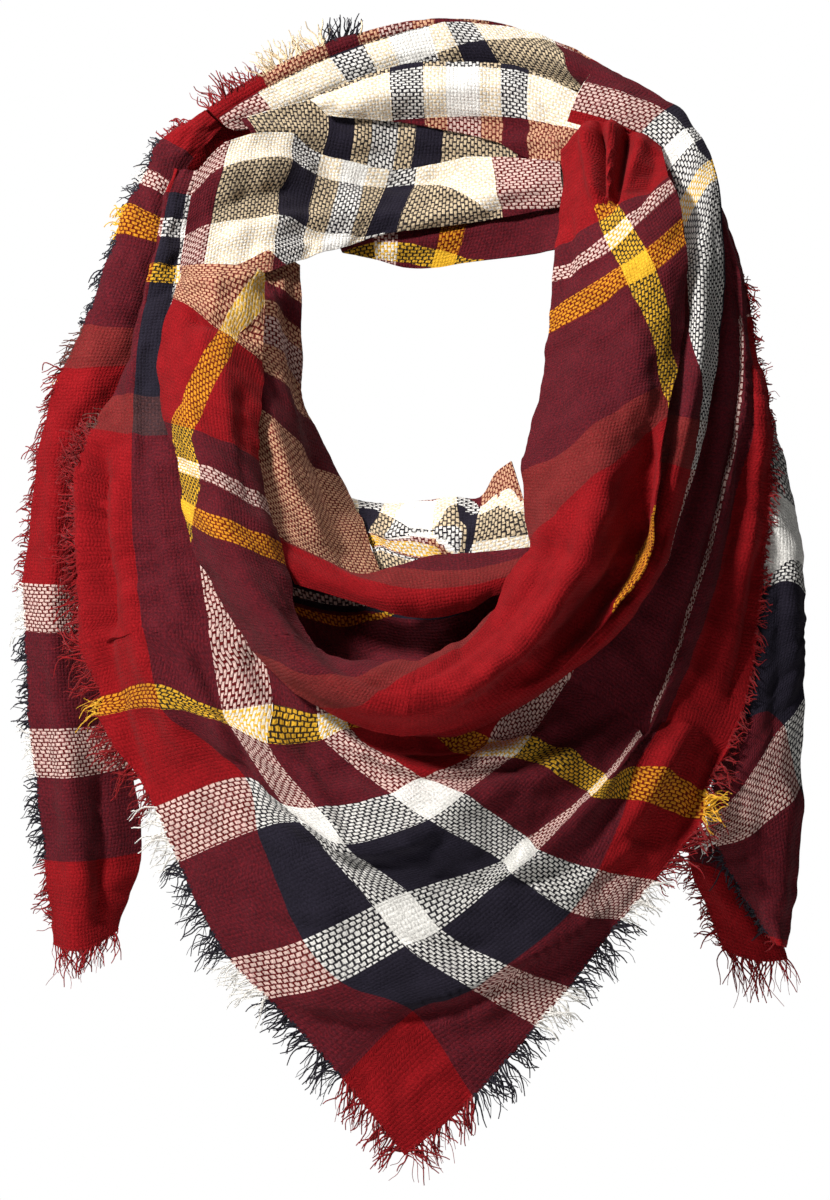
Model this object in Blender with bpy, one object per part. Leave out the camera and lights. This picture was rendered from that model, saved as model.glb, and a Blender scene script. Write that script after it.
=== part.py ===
"""A square tartan blanket scarf, folded corner to corner and wound round the neck with its point
in front. It keeps the hollow form that it has when worn. Every stretch of cloth that shows is a
wall of its own, and each raw edge has a strip as long as its fringe reaches.

Sizes in the tables are millimetres. x runs to the right of someone facing the scarf, y from its
front to its back, z up. The origin is where the back of the neck bears on the winding."""
import math

import bmesh
import bpy
import numpy as np

MM = 0.001
THICK = 2.0          # the brushed acrylic cloth, with its nap
FRINGE_THICK = 1.4   # the combed yarn ends
TIP_ROUND = 0.55     # how thin the fringe gets at its tip

# One list per stretch, a row for each section across it. A row begins with l, the section's place
# along one side of the square, and goes on with stations (x, y, z, r), r being the place along
# the other side.
STRETCHES = {
    "bib_front": [
        (0,
         (-18.6, -182, -538.8, 0), (19.2, -186, -507, 55), (58.2, -187, -463.2, 98),
         (78, -185, -439.8, 133), (108.6, -180, -400.8, 190), (127.2, -174, -378.6, 224),
         (158.4, -160, -340.8, 280), (162, -155, -322.8, 296), (175.2, -140, -295.8, 350)),
        (76,
         (-55.8, -182, -493.2, 0), (-16.8, -188, -454.8, 55), (20.4, -192, -439.8, 98),
         (41.4, -194, -426, 133), (78, -191, -396, 190), (93.6, -185, -372.6, 224),
         (111.6, -174, -328.8, 280), (117.6, -169, -309.6, 296), (134.4, -152, -282, 350)),
        (133,
         (-98.4, -176, -447, 0), (-58.8, -191, -437.4, 55), (-18.6, -198, -415.8, 98),
         (2.4, -201, -405.6, 133), (43.2, -200, -372.6, 190), (59.4, -195, -360, 224),
         (92.4, -184, -327, 280, 121), (102, -180, -316.8, 296, 119), (123.6, -164, -289.8, 350, 118)),
        (169,
         (-122.4, -170, -423, 0), (-81.6, -188, -412.8, 55), (-37.8, -198, -391.8, 98),
         (-17.4, -202, -382.8, 133), (37.2, -198, -364.8, 190), (51, -191, -352.2, 224),
         (87.6, -179, -322.8, 280, 181), (97.2, -175, -312.6, 296, 183),
         (119.4, -160, -285.6, 350, 184)),
        (229,
         (-151.8, -160, -369.6, 0), (-107.4, -181, -351, 55), (-78.6, -193, -343.2, 98),
         (-52.8, -202, -356.4, 133), (-3.6, -209, -342, 190), (16.8, -208, -328.2, 224),
         (46.8, -199, -303, 280), (57.6, -194, -294, 296), (81.6, -174, -258, 350)),
        (268,
         (-166.8, -152, -333.6, 0), (-115.8, -176, -315.6, 55), (-90.6, -187, -330.6, 98),
         (-70.8, -194, -333.6, 133), (-27.6, -203, -325.8, 190), (-9.6, -207, -315.6, 224),
         (20.4, -206, -303, 280), (31.2, -202, -292.8, 296), (56.4, -182, -253.2, 350)),
        (322,
         (-201.6, -133, -278.4, 0), (-162.6, -165, -272.4, 55), (-123.6, -182, -283.2, 98),
         (-100.8, -188, -294, 133), (-68.4, -195, -292.2, 190), (-54, -198, -285.6, 224),
         (-12.6, -198, -280.8, 280), (1.2, -196, -276, 296), (33.6, -182, -241.8, 350)),
        (339,
         (-199.2, -131, -267, 0), (-166.8, -162, -259.2, 55), (-128.4, -179, -274.8, 98),
         (-98.4, -184, -272.4, 133), (-72, -190, -277.2, 190), (-55.2, -193, -276, 224),
         (-18.6, -192, -273.6, 280), (-6, -190, -268.8, 296), (28.8, -178, -242.4, 350)),
        (372,
         (-213.6, -124, -235.8, 0), (-176.4, -156, -225.6, 55), (-136.8, -171, -226.8, 98),
         (-104.4, -174, -222, 133), (-74.4, -181, -243.6, 190), (-56.4, -184, -254.4, 224),
         (-24, -183, -260.4, 280), (-13.2, -181, -258, 296), (21.6, -172, -236.4, 350)),
    ],
    "bib_left": [
        (372,
         (-213.6, -124, -235.8, 0), (-195.6, -142, -231.6, 28), (-176.4, -156, -225.6, 55),
         (-154.8, -166, -226.8, 76), (-136.8, -171, -226.8, 98), (-104.4, -174, -222, 133)),
        (400,
         (-211.2, -118, -199.8, 0), (-196.8, -134, -195.6, 28), (-181.2, -146, -190.8, 55),
         (-160.8, -156, -188.4, 76), (-142.2, -160, -184.8, 98), (-115.2, -162, -182.4, 133)),
        (430,
         (-214.8, -112, -148.8, 0), (-199.2, -126, -151.8, 28), (-184.8, -136, -153.6, 55),
         (-164.4, -144, -153.6, 76), (-147.6, -148, -151.2, 98), (-128.4, -148, -148.8, 126)),
        (464,
         (-207.6, -104, -111, 0), (-194.4, -116, -112.8, 28), (-183, -126, -114.6, 55),
         (-170.4, -132, -115.8, 76), (-156, -135, -114.6, 98), (-141.6, -135, -112.8, 118)),
        (491,
         (-194.4, -94, -87.6, 0), (-187.2, -104, -88.2, 28), (-181.2, -112, -88.8, 55),
         (-172.2, -117, -88.8, 76), (-160.8, -119, -88.2, 98), (-150, -120, -87, 112)),
        (524,
         (-182.4, -82, -57.6, 0), (-181.2, -90, -57, 28), (-179.4, -96, -56.4, 55),
         (-172.2, -100, -55.8, 76), (-162, -100, -55.2, 98), (-153.6, -101, -54.6, 112)),
        (557,
         (-174, -68, -23.4, 0), (-174, -74, -23.4, 28), (-173.4, -78, -23.4, 55),
         (-167.4, -81, -23.4, 76), (-159, -80, -24, 98), (-151.2, -80, -24, 112)),
        (586,
         (-167.4, -54, 3.6, 0), (-167.4, -60, 3.6, 28), (-166.8, -64, 3.6, 55), (-161.4, -66, 3.6, 76),
         (-154.8, -65, 3, 98), (-147.6, -65, 3, 112)),
        (617,
         (-162, -38, 33.6, 0), (-162, -43, 33.6, 28), (-161.4, -46, 33.6, 55), (-157.2, -47, 33.6, 76),
         (-151.8, -46, 32.4, 98), (-144.6, -45, 31.8, 112)),
        (650,
         (-156, -26, 50.4, 0), (-156, -30, 50.4, 28), (-155.4, -32, 50.4, 55), (-151.8, -32, 50.4, 76),
         (-146.4, -31, 49.2, 98), (-139.2, -30, 48, 112)),
    ],
    "bib_right": [
        (350,
         (175.2, -140, -295.8, 0), (153.6, -149, -287.4, 40), (134.4, -152, -282, 76),
         (123.6, -164, -289.8, 120), (119.4, -160, -285.6, 182), (102, -166, -271.2, 200),
         (81.6, -174, -258, 229), (67.2, -177, -255, 252)),
        (372,
         (186, -134, -262.8, 0), (165.6, -143, -254.4, 40), (150, -147, -247.2, 76),
         (140.4, -158, -253.2, 125), (138, -154, -250.8, 177), (120, -160, -237.6, 200),
         (97.2, -169, -225.6, 229), (86.4, -174, -222.6, 246)),
        (392,
         (192, -128, -225.6, 0), (176.4, -136, -220.8, 40), (162, -141, -216, 76),
         (151.2, -152, -219.6, 127), (148.8, -148, -217.2, 175), (134.4, -156, -207.6, 200),
         (115.2, -162, -198, 229), (108, -164, -195.6, 240)),
        (412,
         (196.8, -122, -184.8, 0), (184.8, -130, -182.4, 40), (172.8, -135, -180.6, 76),
         (163.2, -146, -182.4, 128), (160.8, -142, -180, 174), (148.8, -151, -175.2, 200),
         (132, -156, -169.2, 229), (129.6, -156, -168.6, 233)),
        (432,
         (199.2, -114, -142.8, 0), (190.2, -122, -142.2, 40), (181.8, -127, -141.6, 76),
         (173.4, -138, -142.2, 130), (171, -134, -140.4, 172), (159.6, -144, -138, 200),
         (145.2, -148, -134.4, 229), (142.8, -148, -133.8, 233)),
        (452,
         (199.2, -102, -100.8, 0), (194.4, -110, -100.8, 40), (189, -115, -100.8, 76),
         (181.8, -126, -100.8, 133), (180, -122, -99.6, 169), (170.4, -133, -97.8, 200),
         (157.2, -136, -96, 229), (154.8, -136, -95.4, 233)),
        (472,
         (191.4, -88, -58.8, 0), (189, -94, -58.8, 40), (187.2, -99, -58.2, 76),
         (184.2, -110, -57.6, 133), (182.4, -106, -57, 169), (176.4, -114, -55.8, 200),
         (166.8, -116, -54.6, 229), (164.4, -116, -54, 233)),
        (480,
         (189.6, -81, -40.8, 0), (187.8, -86, -40.8, 40), (185.4, -91, -40.8, 76),
         (183, -101, -39.6, 133), (181.2, -98, -39, 169), (175.8, -106, -37.8, 200),
         (168, -108, -37.2, 229), (165.6, -108, -36.6, 233)),
        (484,
         (189.4, -81, -39.3, 170), (187.6, -86, -39.3, 172), (185.3, -91, -39.3, 174),
         (182.9, -101, -38.1, 178), (180.9, -98, -37.5, 184), (175.8, -105, -36.3, 204),
         (168.2, -107.5, -35.7, 229), (165.8, -107.5, -35.1, 233)),
        (496,
         (183.6, -71, -12, 170), (183, -75, -12, 172), (182.4, -80, -12, 174), (181.2, -89, -12, 178),
         (178.8, -87, -11.4, 184), (175.8, -92, -10.8, 204), (171, -92, -10.2, 229),
         (168.6, -92, -9.6, 233)),
        (510,
         (175.2, -58, 14.4, 170), (174.6, -61, 14.4, 172), (174, -65, 14.4, 174),
         (172.8, -74, 14.4, 178), (171, -74, 15, 184), (169.2, -77, 15, 204), (165.6, -77, 15.6, 229),
         (163.2, -77, 16.2, 233)),
        (516,
         (168, -50, 33.6, 170), (167.4, -53, 33.6, 172), (166.8, -56, 33.6, 174),
         (165.6, -63, 33.6, 178), (164.4, -64, 33.6, 184), (162.6, -67, 34.2, 204),
         (159.6, -67, 34.2, 229), (157.2, -67, 34.8, 233)),
    ],
    "left_roll": [
        (700,
         (-151.2, -70, -9, 238), (-138.6, -84, -7.8, 250), (-124.8, -89, -7.8, 264),
         (-111.6, -88, -9.6, 277), (-102.6, -82, -13.2, 288)),
        (677,
         (-158.4, -78, -31.2, 246), (-145.2, -98, -38.4, 262), (-132, -108, -49.2, 280),
         (-118.8, -109, -60.6, 304), (-103.8, -100, -72, 324)),
        (650,
         (-165.6, -92, -58.2, 251), (-151.2, -116, -66, 269), (-136.8, -128, -73.8, 290),
         (-121.2, -126, -81.6, 311), (-104.4, -114, -90.6, 329)),
        (632,
         (-165, -109, -85.2, 264), (-151.2, -133, -91.2, 281), (-136.2, -143, -97.2, 302),
         (-120, -139, -103.2, 320), (-106.2, -126, -110.4, 336)),
        (617,
         (-160.2, -125, -108, 278), (-147.6, -147, -111.6, 296), (-133.2, -156, -117, 310),
         (-118.8, -150, -123.6, 325), (-105, -136, -132, 337)),
        (603,
         (-154.2, -134, -123.6, 282), (-141.6, -156, -127.8, 296), (-127.2, -164, -133.8, 311),
         (-113.4, -158, -141.6, 326), (-101.4, -144, -150, 338)),
        (586,
         (-151.8, -139, -136.8, 285), (-138.6, -162, -142.2, 300), (-123.6, -170, -149.4, 316),
         (-109.2, -165, -156.6, 331), (-96.6, -151, -164.4, 343)),
        (572,
         (-151.2, -144, -151.2, 289), (-138, -168, -158.4, 304), (-121.2, -177, -165.6, 322),
         (-105.6, -173, -171.6, 338), (-92.4, -159, -178.2, 351)),
        (557,
         (-147.6, -150, -166.8, 295), (-133.2, -174, -175.8, 312), (-117, -184, -182.4, 330),
         (-102, -180, -188.4, 346), (-88.8, -166, -194.4, 358)),
        (525,
         (-137.4, -160, -195, 308), (-123, -184, -199.8, 326, 526), (-108, -195, -205.8, 345, 529),
         (-94.2, -192, -210.6, 360, 532), (-82.8, -180, -216, 373, 536)),
        (500,
         (-118.8, -172, -226.8, 325), (-106.8, -195, -228, 341, 502), (-93.6, -206, -230.4, 358, 506),
         (-80.4, -203, -232.8, 374, 512), (-69.6, -190, -236.4, 386, 518)),
    ],
    "cowl_lip": [
        (500,
         (-118.8, -172, -226.8, 325), (-106.8, -195, -228, 341, 502), (-93.6, -206, -230.4, 358, 506),
         (-80.4, -203, -232.8, 374, 512), (-69.6, -190, -236.4, 386, 518)),
        (480,
         (-90.6, -186, -258, 342), (-81.6, -207, -253.8, 356, 487), (-72, -217, -249.6, 371, 496),
         (-63, -214, -246, 385, 505), (-54, -199, -243.6, 398, 513)),
        (464,
         (-61.2, -197, -276.6, 360), (-54, -217, -268.2, 374, 472), (-46.8, -226, -259.8, 388, 482),
         (-40.8, -221, -251.4, 402, 492), (-34.2, -205, -246, 414, 497)),
        (450,
         (-39.6, -201, -285.6, 370), (-34.8, -220, -273.6, 384, 458), (-31.2, -228, -263.4, 398, 466),
         (-27.6, -222, -253.8, 412, 474), (-22.8, -206, -244.8, 424, 484)),
        (437,
         (-19.2, -202, -289.2, 378), (-17.4, -221, -277.2, 392, 445), (-15.6, -229, -266.4, 406, 455),
         (-13.2, -223, -255.6, 420, 464), (-9.6, -206, -244.8, 432, 474)),
    ],
    "right_roll": [
        (474,
         (-9.6, -206, -244.8, 432), (-13.2, -223, -255.6, 420, 464), (-15.6, -229, -266.4, 406, 455),
         (-17.4, -221, -277.2, 392, 445), (-19.2, -202, -289.2, 378, 437)),
        (473,
         (1.2, -202, -238.8, 424), (2.4, -222, -252, 412, 461), (4.2, -229, -264.6, 398, 446),
         (6, -219, -275.4, 382, 432), (8.4, -199, -285.6, 366, 420)),
        (472,
         (13.8, -196, -232.8, 416), (21, -218, -245.4, 404, 456), (28.8, -226, -257.4, 388, 438),
         (34.2, -206, -264, 370, 422), (40.8, -197, -269.4, 352, 410)),
        (472,
         (28.8, -184, -220.8, 404), (40.2, -208, -232.8, 390, 445), (52.2, -219, -243.6, 370, 418),
         (63, -194, -247.2, 346, 400), (72.6, -195, -250.8, 322, 388)),
        (465,
         (38.4, -176, -206.4, 396), (51, -200, -216.6, 378, 434), (66.6, -213, -225.6, 354, 408),
         (81, -183, -226.8, 328, 390), (99, -192, -222, 302, 380)),
        (464,
         (45.6, -169, -190.8, 390), (59.4, -193, -197.4, 370, 440), (78, -206, -204, 344, 416),
         (96.6, -172, -204, 318, 398), (117, -190, -201.6, 289, 388)),
        (464,
         (56.4, -162, -177.6, 386), (72.6, -188, -182.4, 364, 444), (93.6, -199, -185.4, 338, 419),
         (117.6, -166, -183, 299, 401), (127.2, -188, -179.4, 284, 395)),
        (481,
         (54, -154, -160.8, 384), (70.2, -179, -162.6, 362, 467), (92.4, -193, -162.6, 334, 443),
         (115.2, -164, -159.6, 306, 426), (128.4, -182, -157.8, 298, 418)),
        (493,
         (51.6, -142, -132, 380), (74.4, -167, -132, 358, 484), (100.8, -178, -129.6, 330, 470),
         (122.4, -161, -126, 310, 457), (133.8, -166, -123.6, 303, 452)),
        (511,
         (55.2, -130, -111.6, 372), (80.4, -155, -104.4, 352, 502), (108, -164, -96, 326, 491),
         (128.4, -154, -91.2, 306, 482), (139.2, -150, -90, 298, 476)),
        (524,
         (62.4, -116, -84, 360), (86.4, -138, -74.4, 342), (114, -146, -62.4, 316),
         (134.4, -138, -57.6, 293), (146.4, -124, -55.8, 268)),
        (557,
         (66.6, -104, -55.8, 346), (88.8, -120, -45.6, 328), (115.2, -126, -30, 301),
         (135.6, -122, -18, 279), (149.4, -108, -6, 262)),
        (572,
         (67.8, -96, -38.4, 344), (87.6, -108, -26.4, 325), (111.6, -114, -10.8, 298),
         (132, -111, 3.6, 274), (147.6, -98, 18, 254)),
        (586,
         (69.6, -88, -24, 342), (86.4, -98, -15, 322), (108, -104, -2.4, 297),
         (128.4, -102, 15.6, 272), (145.2, -90, 31.2, 250)),
        (603,
         (69.6, -80, -9.6, 344), (85.2, -90, -3.6, 322), (104.4, -94, 10.8, 294),
         (122.4, -92, 28.8, 270), (140.4, -80, 43.2, 248)),
        (636,
         (73.2, -60, 10.8, 338), (85.8, -70, 22.8, 316), (99, -77, 27.6, 292), (116.4, -77, 33.6, 272),
         (139.2, -71, 45, 249)),
        (645,
         (73.4, -59.4, 11.3, 338), (86, -69.2, 23.3, 322), (99.1, -76.2, 28.1, 304),
         (116.4, -76.4, 34.1, 302), (139.2, -70.4, 45.5, 300)),
        (660,
         (76.8, -34, 45.6, 340), (91.2, -46, 55.2, 322, 662), (104.4, -54, 56.4, 312, 662),
         (121.2, -56, 56.4, 306, 662), (136.8, -56, 56.4, 300, 662)),
        (670,
         (75.6, -22, 61.2, 344), (90.6, -32, 78, 330, 672), (105.6, -38, 76.8, 320, 672),
         (122.4, -44, 70.8, 314, 672), (135, -48, 63, 308, 672)),
    ],
    "right_fold": [
        (680,
         (79.2, -30, 79.2, 238), (81.6, -32, 87, 228), (84.6, -32, 94.2, 212), (88.8, -26, 101.4, 196),
         (92.4, -18, 107.4, 180)),
        (650,
         (98.4, -40, 73.2, 238), (102, -44, 81, 228), (106.8, -44, 88.2, 212), (112.8, -38, 94.8, 196),
         (118.8, -28, 99.6, 180)),
        (617,
         (121.2, -48, 62.4, 238), (126, -54, 70.2, 228), (132, -54, 76.8, 212),
         (139.2, -48, 82.8, 196), (146.4, -38, 87, 180)),
        (603,
         (129.6, -52, 52.8, 238), (135.6, -60, 60, 228), (142.2, -62, 66.6, 212),
         (148.8, -56, 72.6, 196), (154.8, -46, 75.6, 180)),
        (586,
         (136.8, -60, 39, 238), (142.8, -68, 45, 228), (149.4, -71, 52.8, 212), (156, -65, 60, 196),
         (162, -54, 64.8, 180)),
        (572,
         (141.6, -66, 24, 240), (147, -74, 28.2, 228), (153, -77, 37.2, 214), (159.6, -71, 49.2, 202),
         (166.2, -60, 54, 192)),
        (557,
         (144, -76, 7.2, 240), (149.4, -84, 8.4, 229), (156, -86, 18, 214), (163.2, -80, 31.2, 202),
         (169.8, -68, 36, 192)),
        (540,
         (145.2, -94, -12, 242), (150.6, -102, -12.6, 228), (158.4, -106, -13.2, 214),
         (166.2, -99, -12, 202), (172.8, -86, -9.6, 192)),
        (524,
         (144, -108, -46.8, 248), (150.6, -122, -48, 230), (157.2, -128, -49.2, 217),
         (163.8, -117, -49.8, 204), (169.8, -102, -50.4, 192)),
        (505,
         (140.4, -126, -82.8, 262), (147, -142, -83.4, 250), (153.6, -146, -84.6, 240),
         (159, -135, -85.2, 228), (164.4, -122, -85.8, 208)),
        (470,
         (132, -144, -124.8, 272), (138, -160, -126.6, 256), (144.6, -164, -128.4, 242),
         (150, -152, -129.6, 232), (154.8, -138, -130.2, 224)),
        (430,
         (122.4, -164, -156, 276), (127.8, -177, -159.6, 262), (133.8, -179, -162.6, 248),
         (138.6, -168, -164.4, 238), (142.8, -154, -165.6, 227)),
        (415,
         (120, -174, -178.2, 278), (125.4, -186, -180.6, 264), (129.6, -187, -182.4, 250),
         (133.8, -177, -183.6, 240), (137.4, -162, -184.8, 228)),
        (400,
         (108, -178, -197.4, 282), (112.8, -192, -201, 268), (117.6, -194, -204, 254),
         (121.2, -184, -205.8, 242), (124.2, -170, -207, 230)),
        (386,
         (88.2, -183, -218.4, 286), (93.6, -200, -223.2, 272), (97.8, -204, -226.8, 258),
         (101.4, -194, -229.8, 246), (104.4, -179, -232.2, 234)),
        (374,
         (63, -188, -235.2, 290), (69, -206, -240, 276), (73.8, -210, -244.2, 262),
         (77.4, -199, -247.2, 248), (81, -184, -250.2, 236)),
        (360,
         (30.6, -193, -254.4, 294), (37.2, -213, -259.8, 282), (42.6, -216, -264.6, 268),
         (47.4, -205, -268.2, 256), (51, -189, -271.8, 244)),
        (352,
         (-0.6, -195, -271.8, 298), (3, -215, -276.6, 288), (6.6, -218, -281.4, 278),
         (9.6, -205, -285.6, 268), (12, -191, -289.2, 258)),
        (346,
         (-25.2, -194, -277.2, 300), (-22.8, -208, -280.2, 292), (-21, -211, -283.2, 284),
         (-19.2, -203, -286.2, 276), (-18, -192, -288.6, 268)),
    ],
    "inner_left": [
        (833,
         (-109.2, -60, 7.2, 232), (-100.8, -62, 2.4, 244), (-91.2, -56, -2.4, 256),
         (-81.6, -48, -7.2, 270)),
        (793,
         (-108, -70, -18.6, 232), (-99.6, -72, -21.6, 244), (-90, -65, -26.4, 256),
         (-81, -51, -33.6, 270)),
        (777,
         (-109.2, -74, -28.8, 232), (-99.6, -76, -32.4, 244), (-90, -64, -39.6, 256),
         (-81, -51, -48.6, 270)),
        (765,
         (-110.4, -78, -37.8, 232), (-99.6, -80, -42, 244), (-89.4, -69, -50.4, 256),
         (-80.4, -54, -62.4, 270)),
        (745,
         (-111.6, -86, -55.8, 232), (-99.6, -86, -61.8, 244), (-88.8, -70, -72, 256),
         (-79.2, -51, -85.2, 270)),
        (733,
         (-112.8, -94, -74.4, 232), (-96.6, -96, -86.4, 244), (-79.2, -77, -105.6, 256),
         (-68.4, -54, -114, 270)),
        (717,
         (-112.8, -104, -91.8, 232), (-94.2, -112, -109.2, 244), (-75.6, -86, -128.4, 256),
         (-54.6, -58, -141.6, 270)),
        (697,
         (-110.4, -128, -133.8, 232), (-85.2, -132, -153.6, 244), (-64.8, -112, -165.6, 256),
         (-42.6, -82, -166.8, 270)),
        (677,
         (-104.4, -152, -166.8, 232), (-76.8, -152, -186, 244), (-55.8, -138, -195.6, 256),
         (-31.2, -117, -202.8, 270)),
    ],
    "inner_band": [
        (712,
         (-55.2, -100, -147, 214), (-52.8, -110, -153.6, 196), (-49.2, -116, -162, 170, 714),
         (-44.4, -122, -168.6, 150, 716), (-42, -124, -171, 282, 722), (-38.4, -126, -177, 294, 722),
         (-37.8, -127, -179.4, 176, 797), (-34.8, -130, -198, 160, 822)),
        (728,
         (-40.8, -101, -150, 214), (-39.6, -112, -154.8, 192, 730), (-39, -118, -160.8, 172, 734),
         (-39.6, -124, -167.4, 150, 740), (-38.4, -126, -169.2, 281, 742),
         (-33.6, -128, -175.8, 294, 745), (-33, -129, -178.2, 176, 797), (-30, -132, -200.4, 160, 822)),
        (742,
         (-27.6, -103, -151.2, 222), (-27.6, -114, -156, 200, 745), (-28.8, -120, -163.2, 184, 748),
         (-30.6, -126, -170.4, 160, 750), (-27.6, -128, -172.8, 281, 752),
         (-24, -130, -179.4, 294, 755), (-23.4, -131, -181.8, 176, 797),
         (-20.4, -136, -201.6, 160, 822)),
        (754,
         (-14.4, -104, -150.6, 228), (-14.4, -116, -154.8, 210, 756), (-15.6, -123, -162, 200, 757),
         (-16.8, -128, -169.2, 188, 758), (-15, -130, -172.8, 281, 760), (-12, -132, -182.4, 294, 762),
         (-11.4, -133, -184.8, 176, 797), (-9.6, -138, -198, 160, 822)),
        (766,
         (-1.2, -105, -148.8, 232), (-1.2, -117, -153.6, 214, 767), (-1.2, -124, -160.8, 204, 768),
         (-1.2, -130, -169.8, 190, 768), (-0.6, -132, -175.8, 282, 770), (3, -134, -183, 294, 772),
         (3.6, -135, -185.4, 176, 797), (4.8, -139, -195.6, 160, 822)),
        (780,
         (13.2, -107, -148.2, 222), (13.2, -119, -153.6, 180, 780), (13.2, -126, -162, 170, 777),
         (13.2, -131, -168.6, 160, 758), (13.2, -133, -178.2, 160, 762),
         (15.6, -136, -184.8, 190, 780), (16.2, -138, -190.2, 197.5, 780),
         (16.8, -140, -195.6, 205, 780)),
        (796,
         (26.4, -110, -147.6, 240), (25.8, -120, -153.6, 230, 796), (25.2, -128, -160.8, 165, 798),
         (24, -133, -168.6, 160, 800), (22.8, -134, -174.6, 196, 800), (22.8, -137, -184.2, 208, 802),
         (23.4, -138.5, -189.9, 208, 802), (24, -140, -195.6, 208, 802)),
        (812,
         (36, -116, -133.2, 240), (37.2, -124, -144, 236, 812), (37.2, -131, -156, 172, 814),
         (36.6, -135, -165.6, 165, 816), (36, -136, -172.8, 196, 816), (36, -139, -185.4, 212, 818),
         (36.6, -140.5, -190.5, 212, 818), (37.2, -142, -195.6, 212, 818)),
        (826,
         (45, -122, -126, 240), (48, -128, -135.6, 236, 826), (51.6, -134, -147.6, 240, 828),
         (55.2, -138, -159.6, 172, 828), (58.8, -140, -170.4, 196, 830), (54, -142, -182.4, 212, 830),
         (52.2, -143, -187.8, 212, 830), (50.4, -144, -193.2, 212, 830)),
    ],
    "cowl_inner": [
        (470,
         (-100.8, -156, -169.2, 402), (-94.8, -162, -178.8, 392, 460), (-88.8, -164, -189.6, 380, 450),
         (-84, -162, -199.2, 368, 440)),
        (470,
         (-64.8, -156, -186, 402), (-61.2, -164, -193.2, 392, 460), (-56.4, -168, -201.6, 380, 450),
         (-51.6, -166, -208.8, 368, 440)),
        (476,
         (-44.4, -160, -193.2, 402), (-39.6, -170, -200.4, 392, 462), (-34.8, -174, -207.6, 380, 450),
         (-30, -170, -215.4, 368, 440)),
        (496,
         (-22.8, -152, -188.4, 408), (-19.2, -172, -199.2, 394, 474), (-15.6, -178, -210, 380, 455),
         (-13.2, -171, -219, 366, 440)),
        (515,
         (-2.4, -148, -182.4, 412), (0, -173, -196.8, 396, 482), (1.2, -181, -208.8, 380, 455),
         (2.4, -174, -219, 366, 440)),
        (515,
         (19.2, -150, -181.2, 412), (20.4, -175, -194.4, 396, 484), (20.4, -182, -205.2, 380, 458),
         (20.4, -176, -214.2, 366, 440)),
        (510,
         (38.4, -156, -180, 412), (37.2, -176, -190.8, 398, 484), (34.8, -182, -199.2, 384, 462),
         (31.2, -178, -207.6, 372, 445)),
        (505,
         (56.4, -160, -177.6, 412), (52.8, -174, -186, 398, 484), (48, -180, -194.4, 384, 470),
         (43.2, -176, -202.8, 372, 455)),
    ],
    "cowl_shadow": [
        (640,
         (-94.8, -128, -182.4, 75), (-90.6, -130, -199.2, 70, 606), (-87, -131, -209.4, 60, 583),
         (-85.2, -131, -212.4, 52, 573), (-81.6, -132, -220.8, 45, 556),
         (-74.4, -134, -237.6, 30, 520), (-63.6, -150, -258, 10, 495)),
        (640,
         (-74.4, -126, -188.4, 75), (-72, -130, -204, 70, 606), (-69.6, -131, -214.2, 60, 583),
         (-68.4, -131, -216.6, 52, 573), (-64.8, -132, -226.8, 45, 556),
         (-57.6, -136, -242.4, 30, 520), (-50.4, -152, -264, 10, 495)),
        (640,
         (-57.6, -128, -193.2, 75), (-55.2, -132, -207, 70, 605), (-54, -133, -216, 60, 583),
         (-53.4, -133, -218.4, 52, 573), (-51.6, -134, -228.6, 45, 556), (-44.4, -138, -246, 30, 520),
         (-36, -154, -265.2, 10, 495)),
        (610,
         (-40.8, -138, -202.8, 75), (-39.6, -138, -210.6, 70, 600), (-38.4, -137, -215.4, 60, 583),
         (-37.8, -137, -217.2, 52, 573), (-36, -137, -224.4, 45, 556), (-28.8, -140, -242.4, 30, 520),
         (-20.4, -156, -262.8, 10, 495)),
        (560,
         (-21.6, -144, -208.8, 75), (-21, -142, -216, 70, 556), (-20.4, -141, -219.6, 60, 552),
         (-19.8, -141, -221.4, 52, 550), (-18, -140, -228, 45, 545), (-13.2, -142, -242.4, 30, 525),
         (-7.2, -157, -260.4, 10, 500)),
        (556,
         (7.2, -142, -206.4, 75), (7.8, -142, -214.8, 70, 553), (8.4, -142, -219, 60, 550),
         (9, -142, -221.4, 52, 548), (10.2, -142, -228, 45, 540), (13.2, -142, -238.8, 30, 520),
         (15.6, -153, -247.2, 10, 500)),
        (550,
         (38.4, -142, -190.8, 75), (38.4, -142, -199.2, 70, 548), (38.4, -141, -204, 60, 546),
         (39, -141, -206.4, 52, 544), (39.6, -141, -212.4, 45, 536), (40.8, -140, -219.6, 30, 516),
         (41.4, -150, -226.8, 10, 500)),
    ],
    "back_edge": [
        (655, (-138, 6, 87.6, 8), (-134.4, 4, 84, 24), (-128.4, 6, 78, 44)),
        (677, (-108, 20, 106.8, 8), (-105.6, 18, 102, 24), (-102, 20, 94.8, 44)),
        (717, (-70.8, 34, 126.6, 8), (-69, 32, 121.2, 24), (-66.6, 34, 114, 44)),
        (745, (-40.8, 43, 135.6, 8), (-39.6, 41, 131.4, 24), (-37.8, 43, 123.6, 44)),
        (777, (-3.6, 49, 142.8, 8), (-3, 47, 139.2, 24), (-2.4, 49, 130.8, 44)),
        (805, (29.4, 48, 139.8, 8), (29.4, 46, 136.8, 24), (28.8, 48, 128.4, 44)),
        (833, (57.6, 42, 132.6, 8), (57, 40, 129.6, 24), (55.8, 42, 122.4, 44)),
    ],
    "back_upper": [
        (660, (-130.8, -2, 81.6, 98), (-127.2, -5, 78, 114), (-121.2, -3, 74.4, 130)),
        (677, (-110.4, 12, 96, 98), (-105.6, 7, 88.8, 116), (-99.6, 10, 78, 133)),
        (717, (-68.4, 27, 117.6, 98), (-61.2, 21, 108, 118), (-54, 25, 96, 138)),
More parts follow.
